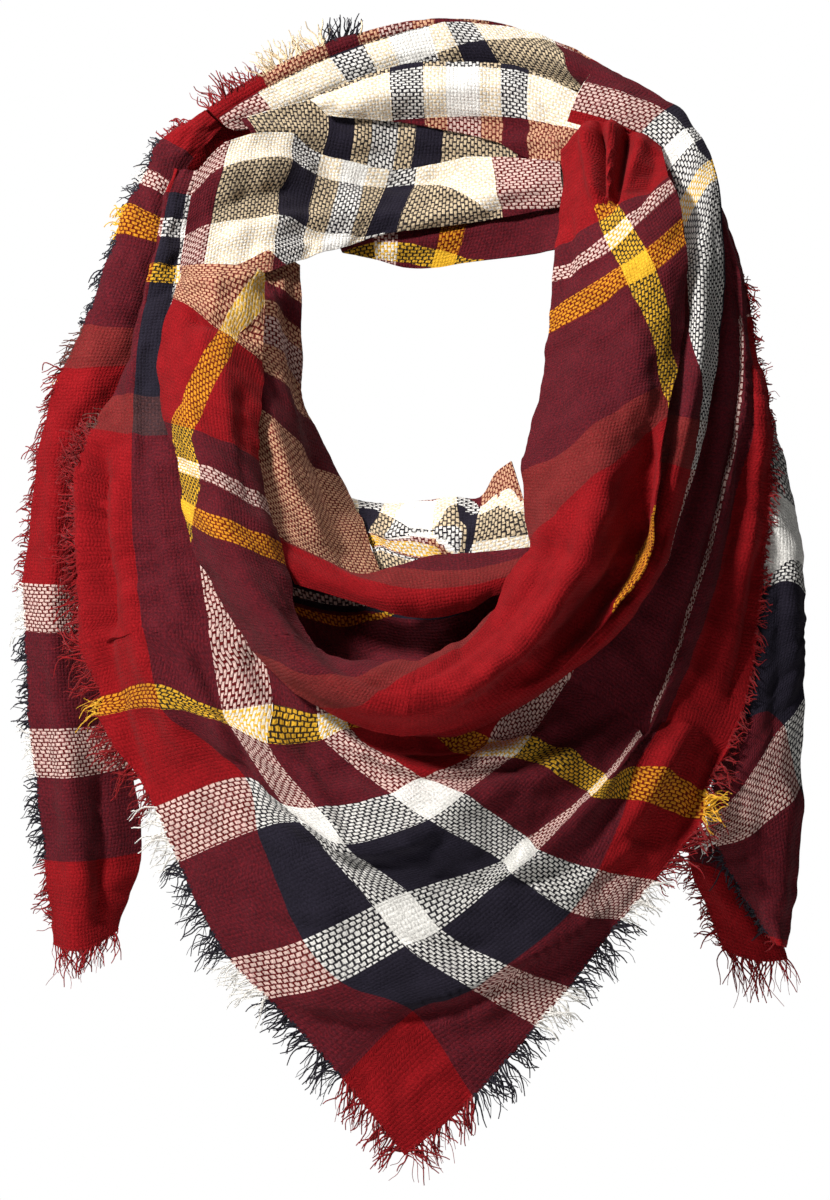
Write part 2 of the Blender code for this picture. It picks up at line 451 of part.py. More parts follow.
        (745, (-36, 36, 129.6, 98), (-31.2, 29, 118.8, 120), (-25.2, 33, 105.6, 142)),
        (765, (-7.2, 42, 137.4, 98), (-3.6, 34, 126, 126), (1.2, 38, 109.2, 154)),
        (793, (18, 44, 140.4, 104), (27.6, 35, 127.2, 140), (38.4, 37, 108, 166)),
        (833, (62.4, 40, 133.2, 128), (70.8, 29, 118.8, 158), (81.6, 27, 99.6, 184)),
        (850, (92.4, 28, 117.6, 136), (98.4, 16, 104.4, 162), (104.4, 10, 87.6, 186)),
        (872, (122.4, 8, 102, 144), (126, -2, 92.4, 166), (128.4, -12, 78, 186)),
        (890, (141.6, -12, 89.4, 150), (145.2, -20, 82.2, 170), (146.4, -30, 69.6, 188)),
        (905, (152.4, -24, 75.6, 154), (156, -34, 66, 172), (157.2, -42, 55.2, 188)),
    ],
    "back_middle": [
        (690, (-76.8, 19, 93.6, 190), (-72, 14, 90, 206), (-66, 16, 84, 224)),
        (717, (-32.4, 25, 111.6, 190), (-31.8, 16, 97.2, 208), (-30, 19, 80.4, 228)),
        (745, (0, 28, 116.4, 190), (0, 18, 99.6, 208), (1.2, 21, 75.6, 236)),
        (777, (37.2, 27, 115.2, 190), (37.2, 17, 98.4, 208), (38.4, 17, 67.2, 250)),
        (793, (52.2, 25, 112.8, 190), (51.6, 15, 97.2, 208), (52.8, 10, 58.8, 258)),
        (833, (92.4, 8, 93.6, 194), (88.8, 0, 84, 212), (84, -10, 51.6, 262)),
        (845, (102, 2, 88.8, 198), (98.4, -8, 76.8, 216), (92.4, -20, 48, 262)),
    ],
    "back_valley": [
        (677, (-117.6, 0, 81.6, 134), (-114, -2, 76.8, 144), (-108, -3, 67.2, 160)),
        (717, (-69.6, 22, 94.8, 134), (-68.4, 17, 78, 158), (-72, 16, 60, 182)),
        (745, (-43.2, 25, 93.6, 134), (-43.2, 19, 73.2, 158), (-46.8, 17, 48, 184)),
        (777, (-13.2, 27, 86.4, 134), (-15, 21, 67.2, 158), (-19.2, 18, 40.8, 184)),
        (800, (8.4, 26, 84, 134), (6.6, 20, 67.2, 158), (4.8, 17, 44.4, 184)),
        (833, (39.6, 21, 75.6, 134), (40.8, 15, 62.4, 158), (40.8, 12, 46.8, 184)),
        (850, (67.2, 8, 68.4, 134), (69.6, 2, 57.6, 158), (72, -1, 44.4, 184)),
    ],
    "back_lower": [
        (660,
         (-144, -32, 49.2, 100), (-147.6, -42, 31.2, 140), (-151.2, -54, 7.2, 200),
         (-153.6, -68, -13.2, 222)),
        (677,
         (-126, -18, 67.2, 100), (-133.2, -34, 43.2, 144), (-138, -48, 15.6, 194),
         (-142.8, -72, -15.6, 223)),
        (717,
         (-88.8, 4, 73.2, 102), (-93.6, -12, 49.2, 146), (-99.6, -30, 21.6, 192),
         (-102, -60, -12, 246)),
        (733, (-75.6, 8, 63.6, 106), (-81.6, -6, 42, 148), (-85.2, -22, 19.2, 190), (-87, -46, -6, 224)),
        (745,
         (-60, 11, 57.6, 110), (-63.6, -2, 38.4, 150), (-70.8, -16, 14.4, 190),
         (-74.4, -32, -2.4, 216)),
        (765,
         (-43.2, 13, 54, 114), (-46.8, 1, 37.2, 150), (-52.8, -10, 15.6, 188), (-55.2, -18, 3.6, 206)),
        (777, (-30, 14, 51.6, 118), (-34.8, 3, 34.8, 152), (-42, -5, 18, 180), (-45.6, -10, 7.2, 198)),
        (793, (-15.6, 14, 51.6, 122), (-20.4, 4, 36, 152), (-26.4, -2, 21.6, 178), (-30, -4, 12, 194)),
        (833, (25.2, 10, 58.8, 108), (27.6, 0, 43.2, 120), (30, -4, 30, 132), (31.2, -3, 20.4, 140)),
        (860, (74.4, -8, 55.2, 104), (75.6, -16, 44.4, 116), (76.8, -19, 36, 126), (78, -18, 28.8, 134)),
    ],
    "back_inner": [
        (617, (-60, -6, 9.6, 262), (-58.8, -9, 4.8, 272), (-56.4, -8, 0.6, 284)),
        (603, (-38.4, 6, 21.6, 252), (-37.2, 1, 9.6, 276), (-36, 2, -3.6, 300)),
        (586, (-14.4, 10, 26.4, 250), (-15.6, 4, 8.4, 278), (-18, 5, -8.4, 304)),
        (572, (8.4, 10, 28.8, 246), (4.8, 3, 8.4, 272), (0, 4, -8.4, 298)),
        (557, (28.8, 8, 31.2, 246), (24, 0, 12, 262), (18, 1, -5.4, 284)),
        (520, (56.4, 0, 37.2, 246), (55.2, -9, 18, 262), (52.8, -10, -1.2, 276)),
        (491, (86.4, -18, 42, 248), (84, -30, 22.8, 262), (80.4, -36, 3.6, 276)),
    ],
    "left_tail": [
        (8,
         (-228, -90, -415.2, 0), (-216, -100, -418.8, 16), (-202.8, -96, -415.2, 34),
         (-191.4, -86, -406.8, 50)),
        (40,
         (-231.6, -90, -388.8, 0), (-216.6, -103, -391.2, 17), (-201.6, -98, -389.4, 36),
         (-183.6, -84, -384, 52)),
        (76,
         (-234, -90, -364.8, 0), (-217.2, -104, -365.4, 18), (-200.4, -98, -364.2, 38),
         (-176.4, -84, -360, 54)),
        (133,
         (-239.4, -90, -316.2, 0), (-220.8, -104, -316.8, 18), (-202.8, -98, -314.4, 38),
         (-182.4, -84, -309.6, 54)),
        (169,
         (-243, -88, -286.8, 0), (-225.6, -103, -286.8, 18), (-208.8, -98, -285.6, 37),
         (-190.8, -84, -283.2, 54)),
        (229,
         (-246, -84, -231.6, 0), (-230.4, -99, -232.8, 18), (-213.6, -94, -231.6, 36),
         (-196.8, -80, -230.4, 53)),
        (268,
         (-247.2, -81, -201.6, 0), (-232.2, -96, -202.8, 18), (-216, -91, -202.8, 36),
         (-199.2, -76, -201.6, 53)),
        (290,
         (-242.4, -77, -160.8, 0), (-228, -90, -160.8, 18), (-213.6, -86, -160.8, 36),
         (-196.8, -73, -159.6, 53)),
        (306,
         (-237.6, -75, -118.8, 0), (-222, -86, -118.8, 18), (-206.4, -82, -118.2, 36),
         (-189.6, -71, -116.4, 53)),
        (321,
         (-227.4, -70.4, -78, 2), (-213.6, -79, -77.4, 20), (-200.4, -78, -76.8, 38),
         (-184.8, -70, -75.6, 53)),
        (464,
         (-226.2, -70, -75, 4), (-212.4, -78, -74.4, 22), (-199.2, -77, -73.8, 38),
         (-183.6, -70, -72.6, 53)),
        (491,
         (-211.2, -58, -45.6, 4), (-200.4, -67, -45.6, 22), (-189, -66, -46.2, 38),
         (-176.4, -59, -46.8, 53)),
        (557,
         (-194.4, -40, 1.2, 4), (-184.2, -48, 0, 22), (-174, -48, -1.8, 38), (-163.2, -43, -3.6, 53)),
        (572,
         (-186, -30, 27.6, 4), (-177.6, -37, 24.6, 22), (-169.2, -37, 21, 38), (-159.6, -33, 17.4, 53)),
        (603,
         (-174, -18, 50.4, 4), (-167.4, -24, 46.8, 22), (-160.8, -24, 42, 36), (-153.6, -20, 37.2, 52)),
        (617,
         (-166.8, -8, 67.2, 4), (-160.8, -14, 64.2, 20), (-154.2, -14, 60, 34),
         (-147.6, -11, 55.2, 48)),
        (655, (-139.2, 5, 86.4, 4), (-136.2, 3, 83.4, 18), (-132.6, 4, 79.8, 30), (-129, 7, 76.2, 42)),
    ],
    "right_tail": [
        (72,
         (201.6, -106, -412.8, 0), (204, -110, -414, 10), (207, -110, -415.2, 22),
         (209.4, -100, -416.4, 34)),
        (90,
         (190.2, -106, -396, 0), (196.8, -114, -397.2, 12), (204, -113, -398.4, 26),
         (211.8, -99, -397.2, 38)),
        (110,
         (179.4, -106, -378, 0), (191.4, -118, -379.2, 16), (203.4, -115, -379.2, 32),
         (216, -98, -376.8, 46)),
        (133,
         (168, -106, -356.4, 0), (185.4, -120, -351.6, 22), (203.4, -116, -337.8, 44),
         (218.4, -98, -321.6, 60)),
        (169,
         (162, -105, -339.6, 0), (179.4, -119, -325.8, 24), (199.2, -114, -295.8, 50),
         (219, -98, -268.8, 72)),
        (195,
         (171.6, -102, -292.8, 56), (185.4, -114, -277.8, 60), (203.4, -111, -256.8, 68),
         (219.6, -96, -238.8, 80)),
        (229,
         (182.4, -96, -220.8, 84), (194.4, -106, -217.2, 86), (207.6, -104, -210, 88),
         (220.2, -90, -216, 90)),
        (240,
         (186, -92, -184.8, 112), (197.4, -101, -184.8, 106), (209.4, -99, -184.8, 100),
         (219.6, -86, -192, 94)),
        (252,
         (188.4, -86, -148.8, 134), (198, -94, -152.4, 128), (208.2, -92, -160.8, 128),
         (216.6, -80, -168, 128)),
        (264,
         (189.6, -79, -112.8, 142), (195.6, -86, -118.8, 142), (202.8, -84, -126, 143),
         (210.6, -74, -133.8, 144)),
        (267,
         (189.6, -70, -76.8, 146), (192, -76, -80.4, 146), (194.4, -74, -84, 146),
         (196.8, -68, -87.6, 146)),
    ],
    "back_outer": [
        (260,
         (-188.4, -24, 4.8, 0), (-194.4, -20, -21.6, 60), (-198, -26, -46.8, 120),
         (-194.4, -38, -68.4, 170)),
        (300,
         (-171.6, 8, 55.2, 0), (-177.6, 16, 22.8, 60), (-180, 14, -12, 120), (-175.2, 0, -44.4, 170)),
        (400, (-138, 24, 88.8, 0), (-144, 38, 49.2, 60), (-144, 38, 9.6, 120), (-136.8, 22, -22.8, 170)),
        (500,
         (-88.8, 46, 117.6, 0), (-93.6, 62, 73.2, 70), (-92.4, 60, 31.2, 130), (-86.4, 40, 1.2, 176)),
        (600, (-33.6, 60, 138, 0), (-36, 76, 88.8, 80), (-34.8, 73, 43.2, 146), (-32.4, 51, 8.4, 196)),
        (700, (20.4, 62, 142.8, 0), (20.4, 78, 92.4, 80), (20.4, 74, 45.6, 146), (20.4, 52, 8.4, 196)),
        (800, (74.4, 50, 128.4, 0), (76.8, 66, 84, 70), (76.8, 62, 42, 130), (72, 40, 13.2, 176)),
        (900,
         (122.4, 22, 98.4, 0), (129.6, 36, 62.4, 60), (129.6, 32, 26.4, 110), (122.4, 12, -2.4, 156)),
        (1000,
         (157.2, -14, 55.2, 0), (164.4, -4, 26.4, 50), (164.4, -8, -7.2, 100), (156, -24, -36, 144)),
        (1050,
         (176.4, -54, -6, 0), (181.2, -56, -32.4, 40), (183.6, -66, -58.8, 90), (180, -80, -86.4, 130)),
    ],
    "right_tail_corner": [
        (2,
         (171.6, -102, -417.6, 0), (183.6, -108, -422.4, 16), (196.8, -108, -424.8, 34),
         (210, -100, -423.6, 52)),
        (40,
         (160.8, -102, -388.8, 0), (174.6, -110, -393.6, 18), (189.6, -110, -400.8, 36),
         (205.2, -100, -408, 52)),
        (76,
         (151.2, -102, -364.8, 0), (165, -110, -368.4, 18), (178.8, -110, -376.8, 36),
         (194.4, -100, -388.8, 52)),
        (100,
         (152.4, -100, -344.4, 0), (165.6, -108, -348, 18), (178.8, -108, -355.2, 36),
         (192, -98, -366, 52)),
    ],
}

# Largest folds, as ridges pushed forward along a bent line: x0, z0, x1, z1, x2, z2, the width on
# the left and on the right of the line, and the height, which is negative for a valley.
FOLDS = {
    "bib_front": [
        (-99.6, -440.4, -21.6, -480, 105.6, -388.8, 18, 4.2, 9),
        (-92.4, -332.4, -50.4, -376.8, 3.6, -344.4, 15.6, 3.6, 7),
        (-58.8, -285.6, -12.6, -332.4, 65.4, -290.4, 15.6, 3.6, 9),
        (-114, -232.8, -96, -268.8, -68.4, -309.6, 9.6, 7.2, -9),
        (38.4, -369.6, 92.4, -340.8, 122.4, -289.8, 8.4, 9.6, 6),
    ],
}

# How finely each stretch is cut: cells between the first and the last section, and across.
CELLS = {
    "bib_front": (17, 17), "bib_left": (16, 5), "bib_right": (14, 6),
    "left_roll": (18, 7), "cowl_lip": (8, 7), "right_roll": (23, 8), "right_fold": (24, 5),
    "inner_left": (12, 5), "inner_band": (9, 5), "cowl_inner": (9, 4), "cowl_shadow": (9, 5),
    "back_edge": (10, 2), "back_upper": (13, 4), "back_middle": (9, 4), "back_valley": (9, 4),
    "back_lower": (14, 6), "back_inner": (9, 4), "left_tail": (22, 4),
    "right_tail": (14, 5), "right_tail_corner": (4, 4), "back_outer": (14, 5),
}

# What lies in front of each stretch, in the order in which they are laid. A stretch is moved just
# behind whatever lies in front of it.
LAYERS = {
    "left_roll": [], "cowl_lip": [], "right_roll": [],
    "cowl_inner": ["right_roll", "left_roll"], "right_fold": ["right_roll", "cowl_lip"],
    "bib_front": ["cowl_lip", "left_roll", "right_roll", "right_fold"],
    "back_lower": ["left_roll", "right_roll"], "bib_left": ["left_roll", "back_lower"],
    "bib_right": ["right_fold", "right_roll"],
    "inner_left": ["left_roll", "cowl_inner", "back_lower"],
    "inner_band": ["inner_left", "cowl_inner", "right_roll"],
    "cowl_shadow": ["left_roll", "cowl_lip", "right_roll", "cowl_inner", "inner_left",
                    "inner_band", "bib_front"],
    "back_middle": ["back_lower", "right_roll"], "back_inner": ["back_lower", "right_roll"],
    "back_valley": ["back_lower", "back_middle", "right_roll", "back_inner"],
    "back_upper": ["back_middle", "back_valley", "back_lower", "right_roll", "right_fold"],
    "back_edge": ["back_upper"],
    "fringe_tip_left": [], "fringe_side_left": [], "fringe_side_right": [],
    "left_tail": ["bib_left", "bib_front", "back_upper", "back_lower", "fringe_side_left",
                  "fringe_tip_left"],
    "right_tail": ["bib_right", "fringe_side_right"], "fringe_tail_right_side": [],
    "right_tail_corner": ["right_tail", "bib_right", "fringe_side_right", "fringe_tail_right_side"],
    "back_outer": ["back_edge", "back_upper", "back_valley", "back_inner", "left_tail",
                   "back_lower", "right_fold", "bib_right"],
    "fringe_tip_right": ["right_tail", "right_tail_corner"], "fringe_tail_left": ["back_upper"], "fringe_back": [],
    "fringe_tail_left_end": [], "fringe_tail_right": [],
}
# How far back a stretch is settled at the end, against its neighbour.
SETTLED = {"left_tail": -1.2, "fringe_tail_left": -1.2, "fringe_tail_left_end": -1.2,
           "right_tail": -0.8, "right_tail_corner": -0.8, "fringe_tail_right": -0.8,
           "fringe_tail_right_side": -0.8, "cowl_inner": -1.1, "inner_band": -1.4,
           "back_inner": -1.9, "back_outer": -1.6}
FINER = 3            # how many times finer the test for overlaps is than a stretch's cells
REACH = 4.0          # how far beyond an edge it still counts as in front
CLEARANCE = 0.35     # between a stretch and what lies in front of it

# Seams where one stretch carries on from another's edge, and the space left there.
SEAMS = {"bib_left": ("bib_front", "last_row", 1.4), "cowl_lip": ("left_roll", "last_row", 0.9),
         "right_roll": ("cowl_lip", "last_row", 0.9),
         "bib_right": ("bib_front", "last_station", 2.4)}

# Fringes: the stretch, which of its edges is raw, where along it the fringe starts and ends, the
# space left beside the edge, the reach and the sag of the tips.
FRINGES = {
    "fringe_tip_left": ("bib_front", "first_station", 0.03, 0.90, 2.0, 17.0, 4.0),
    "fringe_tip_right": ("bib_front", "first_row", 0.03, 0.97, 0.9, 17.0, 4.0),
    "fringe_side_left": ("bib_left", "first_station", 0.06, 0.44, 0.8, 9.0, 3.0),
    "fringe_side_right": ("bib_right", "first_station", 0.06, 0.7, 0.9, 8.0, 3.0),
    "fringe_tail_left": ("left_tail", "first_station", 0.03, 0.93, 1.6, 12.0, 4.0),
    "fringe_tail_left_end": ("left_tail", "first_row", 0.03, 1.0, 0.8, 16.0, 0.0),
    "fringe_tail_right": ("right_tail_corner", "first_row", 0.0, 1.0, 0.8, 16.0, 5.0),
    "fringe_tail_right_side": ("right_tail", "first_station", 0.02, 0.4, 0.8, 12.0, 5.0),
    "fringe_back": ("back_edge", "first_station", 0.02, 0.5, 0.8, 14.0, 0.0),
}

COLOURS = {
    "bib": (0.30, 0.02, 0.03), "left": (0.36, 0.03, 0.03), "cowl": (0.42, 0.02, 0.03),
    "right": (0.38, 0.02, 0.03), "inner": (0.42, 0.22, 0.14), "back": (0.55, 0.42, 0.27),
    "fringe": (0.25, 0.04, 0.05),
}


def tangents(knots, values):
    """Slopes of a smooth curve through values, from each knot's neighbours."""
    slopes = np.empty_like(values)
    slopes[1:-1] = (values[2:] - values[:-2]) / (knots[2:] - knots[:-2])[:, None]
    slopes[0] = (values[1] - values[0]) / (knots[1] - knots[0])
    slopes[-1] = (values[-1] - values[-2]) / (knots[-1] - knots[-2])
    return slopes


def smooth(knots, values, places):
    """Values at places on the smooth curve through values at knots."""
    slopes = tangents(knots, values)
    i = np.clip(np.searchsorted(knots, places, side="right") - 1, 0, len(knots) - 2)
    h = (knots[i + 1] - knots[i])[:, None]
    t = ((places - knots[i]) / (knots[i + 1] - knots[i]))[:, None]
    return (
        (2 * t**3 - 3 * t**2 + 1) * values[i]
        + (t**3 - 2 * t**2 + t) * h * slopes[i]
        + (-2 * t**3 + 3 * t**2) * values[i + 1]
        + (t**3 - t**2) * h * slopes[i + 1]
    )


def chord_knots(points):
    """Knots for a run of points, by their mean distance from one to the next."""
    steps = np.linalg.norm(np.diff(points, axis=0), axis=2).mean(axis=1)
    return np.concatenate([[0.0], np.cumsum(np.maximum(steps, 0.5))])


def fold_push(points, row):
    """How far a fold pushes each point forward."""
    x0, z0, x1, z1, x2, z2, left, right, height = row
    t = np.linspace(0, 1, 41)
    a = np.stack([x0 + 0 * t, z0 + 0 * t], 1)
    b = np.stack([x1 + 0 * t, z1 + 0 * t], 1)
    c = np.stack([x2 + 0 * t, z2 + 0 * t], 1)
    s = t[:, None]
    line = a * (1 - s) ** 2 + b * 2 * s * (1 - s) + c * s**2
    along = np.gradient(line, axis=0)
    flat = points[..., [0, 2]].reshape(-1, 2)
    gap = flat[:, None, :] - line[None]
    near = np.argmin((gap**2).sum(2), axis=1)
    d = gap[np.arange(len(flat)), near]
    side = along[near, 0] * d[:, 1] - along[near, 1] * d[:, 0]
    size = np.hypot(d[:, 0], d[:, 1])
    width = np.where(side > 0, left, right)
    ends = np.clip(np.minimum(t[near], 1 - t[near]) * 6, 0, 1)
    push = height * np.exp(-((size / width) ** 2)) * ends
    return push.reshape(points.shape[:-1])


def sheet(name):
    """The middle surface of a stretch, as a grid of points in millimetres."""
    rows = STRETCHES[name]
    net = np.array([[station[:3] for station in row[1:]] for row in rows], dtype=float)
    cells_along, cells_across = CELLS[name]
    across = chord_knots(net.transpose(1, 0, 2))
    places = np.linspace(0, across[-1], cells_across + 1)
    wide = np.stack([smooth(across, line, places) for line in net])
    along = chord_knots(wide)
    places = np.linspace(0, along[-1], cells_along + 1)
    grid = np.stack([smooth(along, wide[:, j], places) for j in range(wide.shape[1])], axis=1)
    for row in FOLDS.get(name, []):
        grid[..., 1] -= fold_push(grid, row)
    return grid


def normals(grid):
    """Unit normals of a grid of points."""
    n = np.cross(np.gradient(grid, axis=0), np.gradient(grid, axis=1))
    return n / np.maximum(np.linalg.norm(n, axis=2, keepdims=True), 1e-9)


def denser(grid, times):
    """The grid with straight-line points put between its own."""
    for axis in (0, 1):
        count = grid.shape[axis]
        places = np.linspace(0, count - 1, (count - 1) * times + 1)
        low = np.minimum(places.astype(int), count - 2)
        part = (places - low).reshape((-1, 1, 1) if axis == 0 else (1, -1, 1))
        grid = np.take(grid, low, axis) * (1 - part) + np.take(grid, low + 1, axis) * part
    return grid


def spread(push):
    """The push of each point, handed on in part to the points beside it."""
    wide = np.pad(push, 1, mode="edge")
    beside = [wide[:-2, 1:-1], wide[2:, 1:-1], wide[1:-1, :-2], wide[1:-1, 2:]]
    return np.maximum(push, 0.72 * np.maximum.reduce(beside))


def slack_behind(grid, fronts):
    """How far each point lies behind what is in front of it, infinite where nothing is."""
    fine = denser(grid, FINER)
    slack = np.full(fine.shape[:2], np.inf)
    for front in fronts:
        cover = denser(front, 5)
        slope = np.clip(np.abs(normals(cover)[..., 1]), 0.4, 1).ravel()
        cover = cover.reshape(-1, 3)
        for i in range(fine.shape[0]):
            gap = (fine[i, :, None, 0] - cover[None, :, 0]) ** 2
            gap += (fine[i, :, None, 2] - cover[None, :, 2]) ** 2
            near = gap.argmin(axis=1)
            there = gap[np.arange(len(near)), near] < REACH**2
            need = cover[near, 1] + THICK / slope[near] + CLEARANCE
            slack[i] = np.where(there, np.minimum(slack[i], fine[i, :, 1] - need), slack[i])
    wide = np.pad(slack, FINER - 1, constant_values=np.inf)
    rows, columns = slack.shape
    for k in range(2 * FINER - 1):
        for m in range(2 * FINER - 1):
            slack = np.minimum(slack, wide[k:k + rows, m:m + columns])
    return slack[::FINER, ::FINER]


def laid_behind(grid, fronts):
    """The grid moved just behind the stretches that lie in front of it."""
    for turn in range(3):
        slack = slack_behind(grid, fronts) if fronts else np.full(grid.shape[:2], np.inf)
        if not np.isfinite(slack).any():
            return grid
        if slack.min() > 0:
            grid[..., 1] -= slack.min() if turn == 0 else 0
            return grid
        push = np.where(np.isfinite(slack), np.maximum(-slack, 0), 0)
        for _ in range(3):
            push = spread(push)
        grid[..., 1] += push
    return grid


def drawn_back(grid, name, surfaces):
    """The stretch's first section, brought to the edge that it carries on from."""
    if name not in SEAMS:
        return grid
    other, edge, seam = SEAMS[name]
    border = denser(surfaces[other], 12)
    border = border[-1] if edge == "last_row" else border[:, -1]
    inward = grid[1] - grid[0]
    inward /= np.linalg.norm(inward, axis=1, keepdims=True)
    gap = ((grid[0][:, None] - border[None]) ** 2).sum(2)
    grid[0] = border[gap.argmin(axis=1)] + seam * inward
    return grid


def wall(grid, thickness):
    """Vertices and faces of a closed wall whose middle is the grid."""
    rows, columns = grid.shape[:2]
    half = np.asarray(thickness, dtype=float)[..., None] * 0.5
    n = normals(grid)
    sides = [grid + n * half, grid - n * half]
    vertices = np.concatenate([s.reshape(-1, 3) for s in sides]) * MM
    count = rows * columns
    faces = []
    for i in range(rows - 1):
        for j in range(columns - 1):
            a, b = i * columns + j, i * columns + j + 1
            c, d = a + columns, b + columns
            faces += [(a, c, d), (a, d, b)]
            faces += [(count + a, count + d, count + c), (count + a, count + b, count + d)]
    rim = [(0, j) for j in range(columns)] + [(i, columns - 1) for i in range(1, rows)]
    rim += [(rows - 1, j) for j in range(columns - 2, -1, -1)]
    rim += [(i, 0) for i in range(rows - 2, 0, -1)]
    for (i, j), (k, m) in zip(rim, rim[1:] + rim[:1]):
        a, b = i * columns + j, k * columns + m
        faces += [(a, b, count + b), (a, count + b, count + a)]
    return vertices, faces


def add_object(name, vertices, faces):
    """One named solid with its own material."""
    mesh = bpy.data.meshes.new(name)
    mesh.from_pydata([tuple(v) for v in vertices], [], faces)
    bm = bmesh.new()
    bm.from_mesh(mesh)
    bmesh.ops.recalc_face_normals(bm, faces=bm.faces)
    if bm.calc_volume(signed=True) < 0:
        bmesh.ops.reverse_faces(bm, faces=bm.faces)
    bm.to_mesh(mesh)
    bm.free()
    colour = COLOURS[name.split("_")[0]]
    material = bpy.data.materials.new(name)
    material.use_nodes = True
    principled = material.node_tree.nodes["Principled BSDF"]
    principled.inputs["Base Color"].default_value = (*colour, 1.0)
    principled.inputs["Roughness"].default_value = 0.9
    mesh.materials.append(material)
    made = bpy.data.objects.new(name, mesh)
    bpy.context.collection.objects.link(made)


def fringe(name, surfaces):
    """The middle surface of a strip along a raw edge, as long as the yarn ends reach."""
    stretch, edge, start, stop, seam, reach, sag = FRINGES[name]
    grid = surfaces[stretch]
    if edge == "first_row":
        border, inside = grid[0], grid[1]
    else:
        border, inside = grid[:, 0], grid[:, 1]
    places = np.linspace(start, stop, len(border)) * (len(border) - 1)
    low = np.minimum(places.astype(int), len(border) - 2)
    part = (places - low)[:, None]
    border = border[low] * (1 - part) + border[low + 1] * part
    inside = inside[low] * (1 - part) + inside[low + 1] * part
    out = border - inside
    out /= np.linalg.norm(out, axis=1, keepdims=True)
    flat = out * np.array([1.0, 0.35, 1.0])
    flat /= np.linalg.norm(flat, axis=1, keepdims=True)
    near = border + out * seam
    middle = near + (out + flat) * 0.25 * reach
    far = near + flat * reach
    far[:, 2] -= sag
    return np.stack([near, middle, far], axis=1)


def lay_all():
    """Every stretch's and fringe's middle surface, each behind what lies in front of it."""
    surfaces = {}
    for name, fronts in LAYERS.items():
        if name in FRINGES:
            grid = fringe(name, surfaces)
        else:
            grid = drawn_back(sheet(name), name, surfaces)
        surfaces[name] = laid_behind(grid, [surfaces[front] for front in fronts])
        if name in SEAMS:
            drawn_back(surfaces[name], name, surfaces)
    for name, back in SETTLED.items():
        surfaces[name][..., 1] += back
    return surfaces


def thickness_of(name, grid):
    """The wall's thickness at each point, which falls towards the tips of a fringe."""
    if name not in FRINGES:
        return np.full(grid.shape[:2], THICK)
    return np.tile([FRINGE_THICK, 1.1, FRINGE_THICK * TIP_ROUND], (len(grid), 1))


for old in list(bpy.data.objects):
    bpy.data.objects.remove(old, do_unlink=True)
for piece_name, surface in lay_all().items():
    add_object(piece_name, *wall(surface, thickness_of(piece_name, surface)))
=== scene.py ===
"""The looks of a square tartan blanket scarf, wound round the neck as it is worn.

Every stretch of cloth is a thin shell on the form of its solid, with creases of its own, and
every raw edge has its unravelled yarn ends. Lengths are millimetres unless a table says steps,
in the solids' own frame: x runs to the right of someone facing the scarf, y from front to back
and z up. A place on the cloth is l and r, its distances along the square's two sides."""
import math

import bpy
import numpy as np
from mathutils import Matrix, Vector


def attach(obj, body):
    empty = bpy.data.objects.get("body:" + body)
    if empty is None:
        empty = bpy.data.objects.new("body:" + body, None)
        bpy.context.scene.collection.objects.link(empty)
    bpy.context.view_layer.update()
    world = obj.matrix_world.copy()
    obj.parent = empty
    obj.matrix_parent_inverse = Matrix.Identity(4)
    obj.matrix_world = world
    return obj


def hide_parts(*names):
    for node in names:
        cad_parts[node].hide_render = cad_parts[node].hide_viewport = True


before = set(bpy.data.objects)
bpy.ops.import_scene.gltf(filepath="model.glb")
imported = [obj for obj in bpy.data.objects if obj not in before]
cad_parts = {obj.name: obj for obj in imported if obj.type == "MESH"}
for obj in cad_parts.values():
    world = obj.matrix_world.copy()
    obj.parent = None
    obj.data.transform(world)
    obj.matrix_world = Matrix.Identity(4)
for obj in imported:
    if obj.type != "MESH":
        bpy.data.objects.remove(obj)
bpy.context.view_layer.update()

MM = 0.001
THICK = 2.0          # the solids' thickness
SHELL = 1.1          # the shells' thickness
CELL = 2.23          # how finely the shells are cut,
FEWEST = 8           # and into how many cells at least, each way
SPAN = 1500.0        # the side of the whole square
# The tables count across and down in steps. A step is one pixel of the photograph.
STEP = 0.6           # a step's length
ORIGIN = (436, 252)  # the frame's origin, in steps across and down

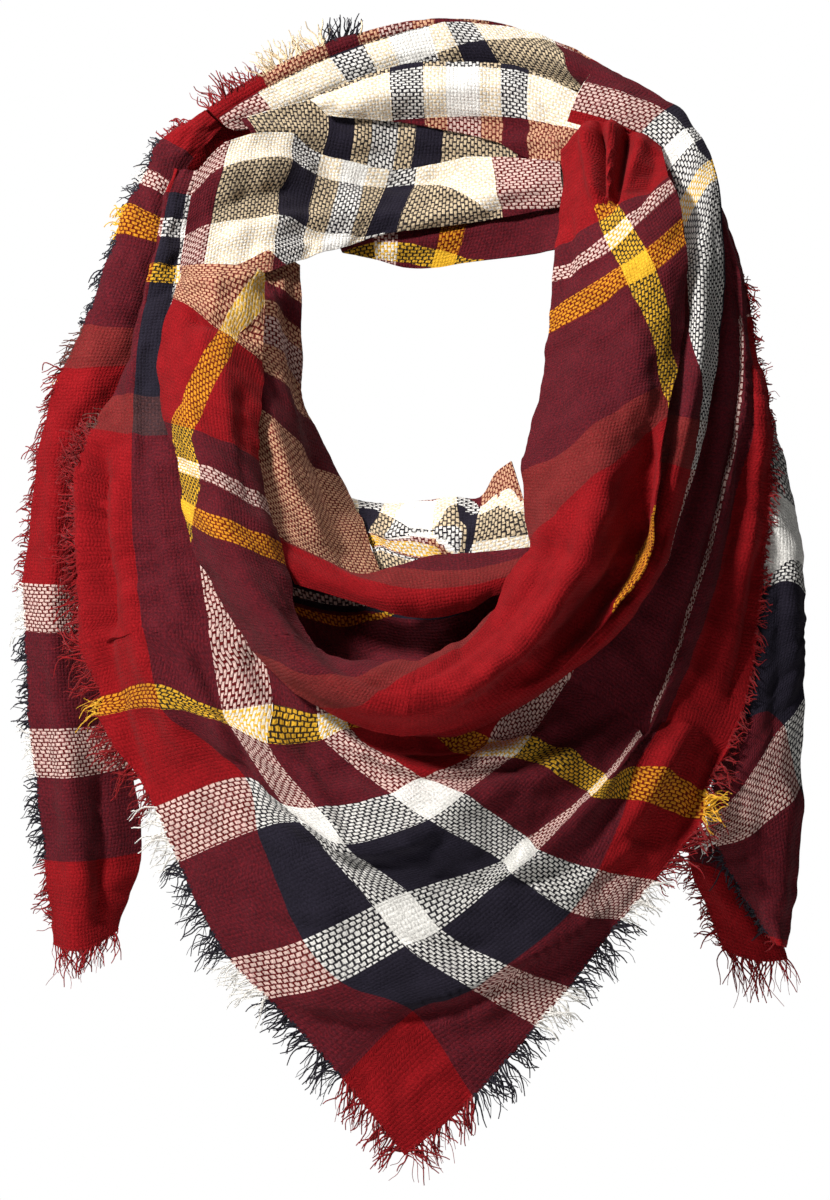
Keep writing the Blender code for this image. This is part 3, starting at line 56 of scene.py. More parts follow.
# ------------------------------------------------------------------ the form, as in the solids
# One table per stretch. Its head gives r for each station. Then comes a row for each section
# across the stretch: the section's l, a colon, and the stations. A station is its steps across,
# its steps down and how many millimetres it lies in front of the origin; after them it may give
# an r of its own, and then an l of its own. In the stretches of ROWS_BY_R, l and r change places.
STRETCHES = {
    "bib_front": """0 55 98 133 190 224 280 296 350;
0: 405 1150 182, 468 1097 186, 533 1024 187, 566 985 185, 617 920 180, 648 883 174, 700 820 160,
  706 790 155, 728 745 140;
76: 343 1074 182, 408 1010 188, 470 985 192, 505 962 194, 566 912 191, 592 873 185, 622 800 174,
  632 768 169, 660 722 152;
133: 272 997 176, 338 981 191, 405 945 198, 440 928 201, 508 873 200, 535 852 195,
  590 797 184 280 121, 606 780 180 296 119, 642 735 164 350 118;
169: 232 957 170, 300 940 188, 373 905 198, 407 890 202, 498 860 198, 521 839 191,
  582 790 179 280 181, 598 773 175 296 183, 635 728 160 350 184;
229: 183 868 160, 257 837 181, 305 824 193, 348 846 202, 430 822 209, 464 799 208, 514 757 199,
  532 742 194, 572 682 174;
268: 158 808 152, 243 778 176, 285 803 187, 318 808 194, 390 795 203, 420 778 207, 470 757 206,
  488 740 202, 530 674 182;
322: 100 716 133, 165 706 165, 230 724 182, 268 742 188, 322 739 195, 346 728 198, 415 720 198,
  438 712 196, 492 655 182;
339: 104 697 131, 158 684 162, 222 710 179, 272 706 184, 316 714 190, 344 712 193, 405 708 192,
  426 700 190, 484 656 178;
372: 80 645 124, 142 628 156, 208 630 171, 262 622 174, 312 658 181, 342 676 184, 396 686 183,
  414 682 181, 472 646 172""",
    "bib_left": """0 28 55 76 98 112;
372: 80 645 124, 110 638 142, 142 628 156, 178 630 166, 208 630 171, 262 622 174 133;
400: 84 585 118, 108 578 134, 134 570 146, 168 566 156, 199 560 160, 244 556 162 133;
430: 78 500 112, 104 505 126, 128 508 136, 162 508 144, 190 504 148, 222 500 148 126;
464: 90 437 104, 112 440 116, 131 443 126, 152 445 132, 176 443 135, 200 440 135 118;
491: 112 398 94, 124 399 104, 134 400 112, 149 400 117, 168 399 119, 186 397 120;
524: 132 348 82, 134 347 90, 137 346 96, 149 345 100, 166 344 100, 180 343 101;
557: 146 291 68, 146 291 74, 147 291 78, 157 291 81, 171 292 80, 184 292 80;
586: 157 246 54, 157 246 60, 158 246 64, 167 246 66, 178 247 65, 190 247 65;
617: 166 196 38, 166 196 43, 167 196 46, 174 196 47, 183 198 46, 195 199 45;
650: 176 168 26, 176 168 30, 177 168 32, 183 168 32, 192 170 31, 204 172 30""",
    "bib_right": """0 40 76 178 184 200 229 233;
350: 728 745 140, 692 731 149, 660 722 152, 642 735 164 120, 635 728 160 182, 606 704 166,
  572 682 174, 548 677 177 252;
372: 746 690 134, 712 676 143, 686 664 147, 670 674 158 125, 666 670 154 177, 636 648 160,
  598 628 169, 580 623 174 246;
392: 756 628 128, 730 620 136, 706 612 141, 688 618 152 127, 684 614 148 175, 660 598 156,
  628 582 162, 616 578 164 240;
412: 764 560 122, 744 556 130, 724 553 135, 708 556 146 128, 704 552 142 174, 684 544 151,
  656 534 156, 652 533 156;
432: 768 490 114, 753 489 122, 739 488 127, 725 489 138 130, 721 486 134 172, 702 482 144,
  678 476 148, 674 475 148;
452: 768 420 102, 760 420 110, 751 420 115, 739 420 126 133, 736 418 122 169, 720 415 133,
  698 412 136, 694 411 136;
472: 755 350 88, 751 350 94, 748 349 99, 743 348 110 133, 740 347 106 169, 730 345 114,
  714 343 116, 710 342 116;
480: 752 320 81, 749 320 86, 745 320 91, 741 318 101 133, 738 317 98 169, 729 315 106, 716 314 108,
  712 313 108;
484: 751.67 317.5 81 170, 748.67 317.5 86 172, 744.83 317.5 91 174, 740.83 315.5 101,
  737.5 314.5 98, 729 312.5 105 204, 716.33 311.5 107.5, 712.33 310.5 107.5;
496: 742 272 71 170, 741 272 75 172, 740 272 80 174, 738 272 89, 734 271 87, 729 270 92 204,
  721 269 92, 717 268 92;
510: 728 228 58 170, 727 228 61 172, 726 228 65 174, 724 228 74, 721 227 74, 718 227 77 204,
  712 226 77, 708 225 77;
516: 716 196 50 170, 715 196 53 172, 714 196 56 174, 712 196 63, 710 196 64, 707 195 67 204,
  702 195 67, 698 194 67""",
    "left_roll": """238 296 264 277 288;
700: 184 267 70, 205 265 84 250, 228 265 89, 250 268 88, 265 274 82;
677: 172 304 78 246, 194 316 98 262, 216 334 108 280, 238 353 109 304, 263 372 100 324;
650: 160 349 92 251, 184 362 116 269, 208 375 128 290, 234 388 126 311, 262 403 114 329;
632: 161 394 109 264, 184 404 133 281, 209 414 143 302, 236 424 139 320, 259 436 126 336;
617: 169 432 125 278, 190 438 147, 214 447 156 310, 238 458 150 325, 261 472 136 337;
603: 179 458 134 282, 200 465 156, 224 475 164 311, 247 488 158 326, 267 502 144 338;
586: 183 480 139 285, 205 489 162 300, 230 501 170 316, 254 513 165 331, 275 526 151 343;
572: 184 504 144 289, 206 516 168 304, 234 528 177 322, 260 538 173 338, 282 549 159 351;
557: 190 530 150 295, 214 545 174 312, 241 556 184 330, 266 566 180 346, 288 576 166 358;
525: 207 577 160 308, 231 585 184 326 526, 256 595 195 345 529, 279 603 192 360 532,
  298 612 180 373 536;
500: 238 630 172 325, 258 632 195 341 502, 280 636 206 358 506, 302 640 203 374 512,
  320 646 190 386 518""",
    "cowl_lip": """325 341 358 374 386;
500: 238 630 172, 258 632 195 341 502, 280 636 206 358 506, 302 640 203 374 512,
  320 646 190 386 518;
480: 285 682 186 342, 300 675 207 356 487, 316 668 217 371 496, 331 662 214 385 505,
  346 658 199 398 513;
464: 334 713 197 360, 346 699 217 374 472, 358 685 226 388 482, 368 671 221 402 492,
  379 662 205 414 497;
450: 370 728 201 370, 378 708 220 384 458, 384 691 228 398 466, 390 675 222 412 474,
  398 660 206 424 484;
437: 404 734 202 378, 407 714 221 392 445, 410 696 229 406 455, 414 678 223 420 464,
  420 660 206 432 474""",
    "right_roll": """344 322 406 306 298;
455: 420 660 206 432 474, 414 678 223 420 464, 410 696 229, 407 714 221 392 445,
  404 734 202 378 437;
473: 438 650 202 424, 440 672 222 412 461, 443 693 229 398 446, 446 711 219 382 432,
  450 728 199 366 420;
472: 459 640 196 416, 471 661 218 404 456, 484 681 226 388 438, 493 692 206 370 422,
  504 701 197 352 410;
472: 484 620 184 404, 503 640 208 390 445, 523 658 219 370 418, 541 664 194 346 400,
  557 670 195 322 388;
465: 500 596 176 396, 521 613 200 378 434, 547 628 213 354 408, 571 630 183 328 390,
  601 622 192 302 380;
464: 512 570 169 390, 535 581 193 370 440, 566 592 206 344 416, 597 592 172 318 398,
  631 588 190 289 388;
464: 530 548 162 386, 557 556 188 364 444, 592 561 199 338 419, 632 557 166 299 401,
  648 551 188 284 395;
418: 526 520 154 384 481, 553 523 179 362 467, 590 523 193 334 443, 628 518 164 306 426,
  650 515 182;
493: 522 472 142 380, 560 472 167 358 484, 604 468 178 330 470, 640 462 161 310 457,
  659 458 166 303 452;
476: 528 438 130 372 511, 570 426 155 352 502, 616 412 164 326 491, 650 404 154 306 482,
  668 402 150;
524: 540 392 116 360, 580 376 138 342, 626 356 146 316, 660 348 138 293, 680 345 124 268;
557: 547 345 104 346, 584 328 120 328, 628 302 126 301, 662 282 122 279, 685 262 108 262;
572: 549 316 96, 582 296 108 325, 622 270 114 298, 656 246 111 274, 682 222 98 254;
586: 552 292 88 342, 580 277 98, 616 256 104 297, 650 226 102 272, 678 200 90 250;
603: 552 268 80, 578 258 90, 610 234 94 294, 640 204 92 270, 670 180 80 248;
636: 558 234 60 338, 579 214 70 316, 601 206 77 292, 630 196 77 272, 668 177 71 249;
645: 558.33 233.17 59.4 338, 579.33 213.17 69.2, 601.17 205.17 76.2 304, 630 195.17 76.4 302,
  668 176.17 70.4 300;
662: 564 176 34 340 660, 588 160 46, 610 158 54 312, 638 158 56, 664 158 56 300;
672: 562 150 22 344 670, 587 122 32 330, 612 124 38 320, 640 134 44 314, 661 147 48 308""",
    "right_fold": """238 228 212 196 180;
680: 568 120 30, 572 107 32, 577 95 32, 584 83 26, 590 73 18;
650: 600 130 40, 606 117 44, 614 105 44, 624 94 38, 634 86 28;
617: 638 148 48, 646 135 54, 656 124 54, 668 114 48, 680 107 38;
603: 652 164 52, 662 152 60, 673 141 62, 684 131 56, 694 126 46;
586: 664 187 60, 674 177 68, 685 164 71, 696 152 65, 706 144 54;
572: 672 212 66 240, 681 205 74, 691 190 77 214, 702 170 71 202, 713 162 60 192;
557: 676 240 76 240, 685 238 84 229, 696 222 86 214, 708 200 80 202, 719 192 68 192;
540: 678 272 94 242, 687 273 102, 700 274 106 214, 713 272 99 202, 724 268 86 192;
524: 676 330 108 248, 687 332 122 230, 698 334 128 217, 709 335 117 204, 719 336 102 192;
505: 670 390 126 262, 681 391 142 250, 692 393 146 240, 701 394 135 228, 710 395 122 208;
470: 656 460 144 272, 666 463 160 256, 677 466 164 242, 686 468 152 232, 694 469 138 224;
430: 640 512 164 276, 649 518 177 262, 659 523 179 248, 667 526 168 238, 674 528 154 227;
415: 636 549 174 278, 645 553 186 264, 652 556 187 250, 659 558 177 240, 665 560 162 228;
400: 616 581 178 282, 624 587 192 268, 632 592 194 254, 638 595 184 242, 643 597 170 230;
386: 583 616 183 286, 592 624 200 272, 599 630 204 258, 605 635 194 246, 610 639 179 234;
374: 541 644 188 290, 551 652 206 276, 559 659 210 262, 565 664 199 248, 571 669 184 236;
360: 487 676 193 294, 498 685 213 282, 507 693 216 268, 515 699 205 256, 521 705 189 244;
352: 435 705 195 298, 441 713 215 288, 447 721 218 278, 452 728 205 268, 456 734 191 258;
346: 394 714 194 300, 398 719 208 292, 401 724 211 284, 404 729 203 276, 406 733 192 268""",
    "inner_left": """232 244 256 270;
833: 254 240 60, 268 248 62, 284 256 56, 300 264 48;
793: 256 283 70, 270 288 72, 286 296 65, 301 308 51;
777: 254 300 74, 270 306 76, 286 318 64, 301 333 51;
765: 252 315 78, 270 322 80, 287 336 69, 302 356 54;
745: 250 345 86, 270 355 86, 288 372 70, 304 394 51;
733: 248 376 94, 275 396 96, 304 428 77, 322 442 54;
717: 248 405 104, 279 434 112, 310 466 86, 345 488 58;
697: 252 475 128, 294 508 132, 328 528 112, 365 530 82;
677: 262 530 152, 308 562 152, 343 578 138, 384 590 117""",
    "inner_band": """240 236 170 160 281 294 176 160;
722: 344 497 100 214 712, 348 508 110 196 712, 354 522 116 170 714, 362 533 122 150 716,
  366 537 124 282, 372 547 126, 373 551 127 176 797, 378 582 130 160 822;
742: 368 502 101 214 728, 370 510 112 192 730, 371 520 118 172 734, 370 531 124 150 740,
  372 534 126, 380 545 128 294 745, 381 549 129 176 797, 386 586 132 160 822;
750: 390 504 103 222 742, 390 512 114 200 745, 388 524 120 184 748, 385 536 126,
  390 540 128 281 752, 396 551 130 294 755, 397 555 131 176 797, 402 588 136 160 822;
760: 412 503 104 228 754, 412 510 116 210 756, 410 522 123 200 757, 408 534 128 188 758,
  411 540 130, 416 556 132 294 762, 417 560 133 176 797, 420 582 138 160 822;
768: 434 500 105 232 766, 434 508 117 214 767, 434 520 124 204, 434 535 130 190,
  435 545 132 282 770, 441 557 134 294 772, 442 561 135 176 797, 444 578 139 160 822;
780: 458 499 107 222, 458 508 119 180, 458 522 126 170 777, 458 533 131 160 758,
  458 549 133 160 762, 462 560 136 190, 463 569 138 197.5, 464 578 140 205;
796: 480 498 110, 479 508 120 230, 478 520 128 165 798, 476 533 133 160 800, 474 543 134 196 800,
  474 559 137 208 802, 475 568.5 138.5 208 802, 476 578 140 208 802;
812: 496 474 116, 498 492 124, 498 512 131 172 814, 497 528 135 165 816, 496 540 136 196 816,
  496 561 139 212 818, 497 569.5 140.5 212 818, 498 578 142 212 818;
826: 511 462 122, 516 478 128, 522 498 134 240 828, 528 518 138 172 828, 534 536 140 196 830,
  526 556 142 212 830, 523 565 143 212 830, 520 574 144 212 830""",
    "cowl_inner": """412 392 380 368;
440: 268 534 156 402 470, 278 550 162 392 460, 288 568 164 380 450, 296 584 162;
440: 328 562 156 402 470, 334 574 164 392 460, 342 588 168 380 450, 350 600 166;
440: 362 574 160 402 476, 370 586 170 392 462, 378 598 174 380 450, 386 611 170;
455: 398 566 152 408 496, 404 584 172 394 474, 410 602 178, 414 617 171 366 440;
515: 432 556 148, 436 580 173 396 482, 438 600 181 380 455, 440 617 174 366 440;
515: 468 554 150, 470 576 175 396 484, 470 594 182 380 458, 470 609 176 366 440;
510: 500 552 156, 498 570 176 398 484, 494 584 182 384 462, 488 598 178 372 445;
505: 530 548 160, 524 562 174 398 484, 516 576 180 384 470, 508 590 176 372 455""",
    "cowl_shadow": """75 70 60 52 45 30 10;
640: 278 556 128, 285 584 130 70 606, 291 601 131 60 583, 294 606 131 52 573, 300 620 132 45 556,
  312 648 134 30 520, 330 682 150 10 495;
640: 312 566 126, 316 592 130 70 606, 320 609 131 60 583, 322 613 131 52 573, 328 630 132 45 556,
  340 656 136 30 520, 352 692 152 10 495;
640: 340 574 128, 344 597 132 70 605, 346 612 133 60 583, 347 616 133 52 573, 350 633 134 45 556,
  362 662 138 30 520, 376 694 154 10 495;
610: 368 590 138, 370 603 138 70 600, 372 611 137 60 583, 373 614 137 52 573, 376 626 137 45 556,
  388 656 140 30 520, 402 690 156 10 495;
560: 400 600 144, 401 612 142 70 556, 402 618 141 60 552, 403 621 141 52 550, 406 632 140 45 545,
  414 656 142 30 525, 424 686 157 10 500;
556: 448 596 142, 449 610 142 70 553, 450 617 142 60 550, 451 621 142 52 548, 453 632 142 45 540,
  458 650 142 30 520, 462 664 153 10 500;
550: 500 570 142, 500 584 142 70 548, 500 592 141 60 546, 501 596 141 52 544, 502 606 141 45 536,
  504 618 140 30 516, 505 630 150 10 500""",
    "back_edge": """8 24 44;
655: 206 106 -6, 212 112 -4, 222 122 -6;
677: 256 74 -20, 260 82 -18, 266 94 -20;
717: 318 41 -34, 321 50 -32, 325 62 -34;
745: 368 26 -43, 370 33 -41, 373 46 -43;
777: 430 14 -49, 431 20 -47, 432 34 -49;
805: 485 19 -48, 485 24 -46, 484 38 -48;
833: 532 31 -42, 531 36 -40, 529 48 -42""",
    "back_upper": """98 114 186;
660: 218 116 2, 224 122 5, 234 128 3 130;
677: 252 92 -12, 260 104 -7 116, 270 122 -10 133;
717: 322 56 -27, 334 72 -21 118, 346 92 -25 138;
745: 376 36 -36, 384 54 -29 120, 394 76 -33 142;
765: 424 23 -42, 430 42 -34 126, 438 70 -38 154;
793: 466 18 -44 104, 482 40 -35 140, 500 72 -37 166;
833: 540 30 -40 128, 554 54 -29 158, 572 86 -27 184;
850: 590 56 -28 136, 600 78 -16 162, 610 106 -10;
872: 640 82 -8 144, 646 98 2 166, 650 122 12;
890: 672 103 12 150, 678 115 20 170, 680 136 30 188;
905: 690 126 24 154, 696 142 34 172, 698 160 42 188""",
    "back_middle": """190 208 262;
690: 308 96 -19, 316 102 -14 206, 326 112 -16 224;
717: 382 66 -25, 383 90 -16, 386 118 -19 228;
745: 436 58 -28, 436 86 -18, 438 126 -21 236;
777: 498 60 -27, 498 88 -17, 500 140 -17 250;
793: 523 64 -25, 522 90 -15, 524 154 -10 258;
833: 590 96 -8 194, 584 112 0 212, 576 166 10;
845: 606 104 -2 198, 600 124 8 216, 590 172 20""",
    "back_valley": """134 158 184;
677: 240 116 0, 246 124 2 144, 256 140 3 160;
717: 320 94 -22, 322 122 -17, 316 152 -16 182;
745: 364 96 -25, 364 130 -19, 358 172 -17;
777: 414 108 -27, 411 140 -21, 404 184 -18;
800: 450 112 -26, 447 140 -20, 444 178 -17;
833: 502 126 -21, 504 148 -15, 504 174 -12;
850: 548 138 -8, 552 156 -2, 556 178 1""",
    "back_lower": """100 150 190 222;
660: 196 170 32, 190 200 42 140, 184 240 54 200, 180 274 68;
677: 226 140 18, 214 180 34 144, 206 226 48 194, 198 278 72 223;
717: 288 130 -4 102, 280 170 12 146, 270 216 30 192, 266 272 60 246;
733: 310 146 -8 106, 300 182 6 148, 294 220 22, 291 262 46 224;
745: 336 156 -11 110, 330 188 2, 318 228 16, 312 256 32 216;
765: 364 162 -13 114, 358 190 -1, 348 226 10 188, 344 246 18 206;
777: 386 166 -14 118, 378 194 -3 152, 366 222 5 180, 360 240 10 198;
793: 410 166 -14 122, 402 192 -4 152, 392 216 2 178, 386 232 4 194;
833: 478 154 -10 108, 482 180 0 120, 486 202 4 132, 488 218 3 140;
860: 560 160 8 104, 562 178 16 116, 564 192 19 126, 566 204 18 134""",
    "back_inner": """246 262 284;
617: 336 236 6 262, 338 244 9 272, 342 251 8;
603: 372 216 -6 252, 374 236 -1 276, 376 258 -2 300;
586: 412 208 -10 250, 410 238 -4 278, 406 266 -5 304;
572: 450 204 -10, 444 238 -3 272, 436 266 -4 298;
557: 484 200 -8, 476 232 0, 466 261 -1;
520: 530 190 0, 528 222 9, 524 254 10 276;
491: 580 182 18 248, 576 214 30, 570 246 36 276""",
    "left_tail": """0 18 38 53;
8: 56 944 90, 76 950 100 16, 98 944 96 34, 117 930 86 50;
40: 50 900 90, 75 904 103 17, 100 901 98 36, 130 892 84 52;
76: 46 860 90, 74 861 104, 102 859 98, 142 852 84 54;
133: 37 779 90, 68 780 104, 98 776 98, 132 768 84 54;
169: 31 730 88, 60 730 103, 88 728 98 37, 118 724 84 54;
229: 26 638 84, 52 640 99, 80 638 94 36, 108 636 80;
268: 24 588 81, 49 590 96, 76 590 91 36, 104 588 76;
290: 32 520 77, 56 520 90, 80 520 86 36, 108 518 73;
306: 40 450 75, 66 450 86, 92 449 82 36, 120 446 71;
321: 57 382 70.4 2, 80 381 79 20, 102 380 78, 128 378 70;
464: 59 377 70 4, 82 376 78 22, 104 375 77, 130 373 70;
491: 84 328 58 4, 102 328 67 22, 121 329 66, 142 330 59;
557: 112 250 40 4, 129 252 48 22, 146 255 48, 164 258 43;
572: 126 206 30 4, 140 211 37 22, 154 217 37, 170 223 33;
603: 146 168 18 4, 157 174 24 22, 168 182 24 36, 180 190 20 52;
617: 158 140 8 4, 168 145 14 20, 179 152 14 34, 190 160 11 48;
655: 204 108 -5 4, 209 113 -3, 215 119 -4 30, 221 125 -7 42""",
    "right_tail": """0 10 22 34;
72: 772 940 106, 776 942 110, 781 944 110, 785 946 100;
90: 753 912 106, 764 914 114 12, 776 916 113 26, 789 914 99 38;
110: 735 882 106, 755 884 118 16, 775 884 115 32, 796 880 98 46;
133: 716 846 106, 745 838 120 22, 775 815 116 44, 800 788 98 60;
169: 706 818 105, 735 795 119 24, 768 745 114 50, 801 700 98 72;
195: 722 740 102 56, 745 715 114 60, 775 680 111 68, 802 650 96 80;
229: 740 620 96 84, 760 614 106 86, 782 602 104 88, 803 612 90 90;
240: 746 560 92 112, 765 560 101 106, 785 560 99 100, 802 572 86 94;
252: 750 500 86 134, 766 506 94 128, 783 520 92 128, 797 532 80 128;
264: 752 440 79 142, 762 450 86 142, 774 462 84 143, 787 475 74 144;
267: 752 380 70 146, 756 386 76 146, 760 392 74 146, 764 398 68 146""",
    "back_outer": """0 60 120 170;
260: 122 244 24, 112 288 20, 106 330 26, 112 366 38;
300: 150 160 -8, 140 214 -16, 136 272 -14, 144 326 0;
400: 206 104 -24, 196 170 -38, 196 236 -38, 208 290 -22;
500: 288 56 -46, 280 130 -62 70, 282 200 -60 130, 292 250 -40 176;
600: 380 22 -60, 376 104 -76 80, 378 180 -73 146, 382 238 -51 196;
700: 470 14 -62, 470 98 -78 80, 470 176 -74 146, 470 238 -52 196;
800: 560 38 -50, 564 112 -66 70, 564 182 -62 130, 556 230 -40 176;
900: 640 88 -22, 652 148 -36, 652 208 -32 110, 640 256 -12 156;
1000: 698 160 14, 710 208 4 50, 710 264 8 100, 696 312 24 144;
1050: 730 262 54, 738 306 56 40, 742 350 66 90, 736 396 80 130""",
    "right_tail_corner": """0 18 36 52;
2: 722 948 102, 742 956 108 16, 764 960 108 34, 786 958 100;
40: 704 900 102, 727 908 110, 752 920 110, 778 932 100;
76: 688 860 102, 711 866 110, 734 880 110, 760 900 100;
100: 690 826 100, 712 832 108, 734 844 108, 756 862 98""",
}
ROWS_BY_R = ("bib_right",)

# Largest folds, as ridges pushed forward along a bent line, one to a line of text: the steps
# across and down of the line's start, bend and end, the ridge's width in steps on the left and
# on the right of the line, and its height in millimetres, which is negative for a valley.
FOLDS = {
    "bib_front": """270 986 400 1052 612 900 30 7 9
282 806 352 880 442 826 26 6 7
338 728 415 806 545 736 26 6 9
246 640 276 700 322 768 16 12 -9
500 868 590 820 640 735 14 16 6""",
}

# How each stretch is laid, in the order of laying: how many cells its solid has between the
# first and last section, and across; the height and length of its small waves; how far back it
# is moved after that, a minus being to the front; and the stretches in front of it.
LAID = {
    "left_roll": (18, 7, 0.6, 35, 0, ""),
    "cowl_lip": (8, 7, 0.5, 40, 0, ""),
    "right_roll": (23, 8, 0.7, 45, 0, ""),
    "cowl_inner": (9, 4, 0.4, 40, -1.1, "right_roll left_roll"),
    "right_fold": (24, 5, 0.5, 40, 0, "right_roll cowl_lip"),
    "bib_front": (17, 17, 0.9, 55, 0, "cowl_lip left_roll right_roll right_fold"),
    "back_lower": (14, 6, 0.7, 45, 0, "left_roll right_roll"),
    "bib_left": (16, 5, 1.0, 45, 0, "left_roll back_lower"),
    "bib_right": (14, 6, 0.8, 45, 0, "right_fold right_roll"),
    "inner_left": (12, 5, 0.6, 40, 0, "left_roll cowl_inner back_lower"),
    "inner_band": (9, 5, 0.4, 40, -1.4, "inner_left cowl_inner right_roll"),
    "cowl_shadow": (9, 5, 0.4, 40, 0, "left_roll cowl_lip right_roll cowl_inner inner_left"
                                      " inner_band bib_front"),
    "back_middle": (9, 4, 0.6, 40, 0, "back_lower right_roll"),
    "back_inner": (9, 4, 0.4, 35, -1.9, "back_lower right_roll"),
    "back_valley": (9, 4, 0.5, 40, 0, "back_lower back_middle right_roll back_inner"),
    "back_upper": (13, 4, 0.6, 40, 0, "back_middle back_valley back_lower right_roll right_fold"),
    "back_edge": (10, 2, 0.5, 35, 0, "back_upper"),
    "left_tail": (22, 4, 0.8, 40, -1.2, "bib_left bib_front back_upper back_lower"),
    "right_tail": (14, 5, 0.8, 40, -0.8, "bib_right"),
    "right_tail_corner": (4, 4, 0.6, 40, -0.8, "right_tail bib_right"),
    "back_outer": (14, 5, 1.4, 60, -1.6, "back_edge back_upper back_valley back_inner left_tail"
                                         " back_lower right_fold bib_right"),
}
FINER = 3            # how many times finer than its cells a stretch is when it is laid
COVER_FINER = 5      # the same for what lies in front of it
BORDER_FINER = 12    # and for an edge that another stretch carries on from
REACH = 4.0          # a point in front counts when it is as near as this, seen from the front
CLEARANCE = 0.35     # what stays free between two stretches
STEEPEST = 0.4       # a normal's least share along y: steeper cloth counts as no thicker
LAY_TURNS = 3        # how many times a stretch is laid again
PUSH_SHARE = 0.72    # what a point hands on of its push to those beside it
PUSH_TURNS = 3       # how many times it does
SHORTEST = 0.5       # the least distance from one section or station to the next
FOLD_POINTS = 41     # points along a fold's bent line
FOLD_FADE = 6        # a fold is at its full height past a sixth of its length
# The edge that a stretch's first section carries on from, and the seam between the two.
SEAMS = {"bib_left": ("bib_front", "last_row", 1.4), "cowl_lip": ("left_roll", "last_row", 0.9),
         "right_roll": ("cowl_lip", "last_row", 0.9),
         "bib_right": ("bib_front", "last_station", 2.4)}


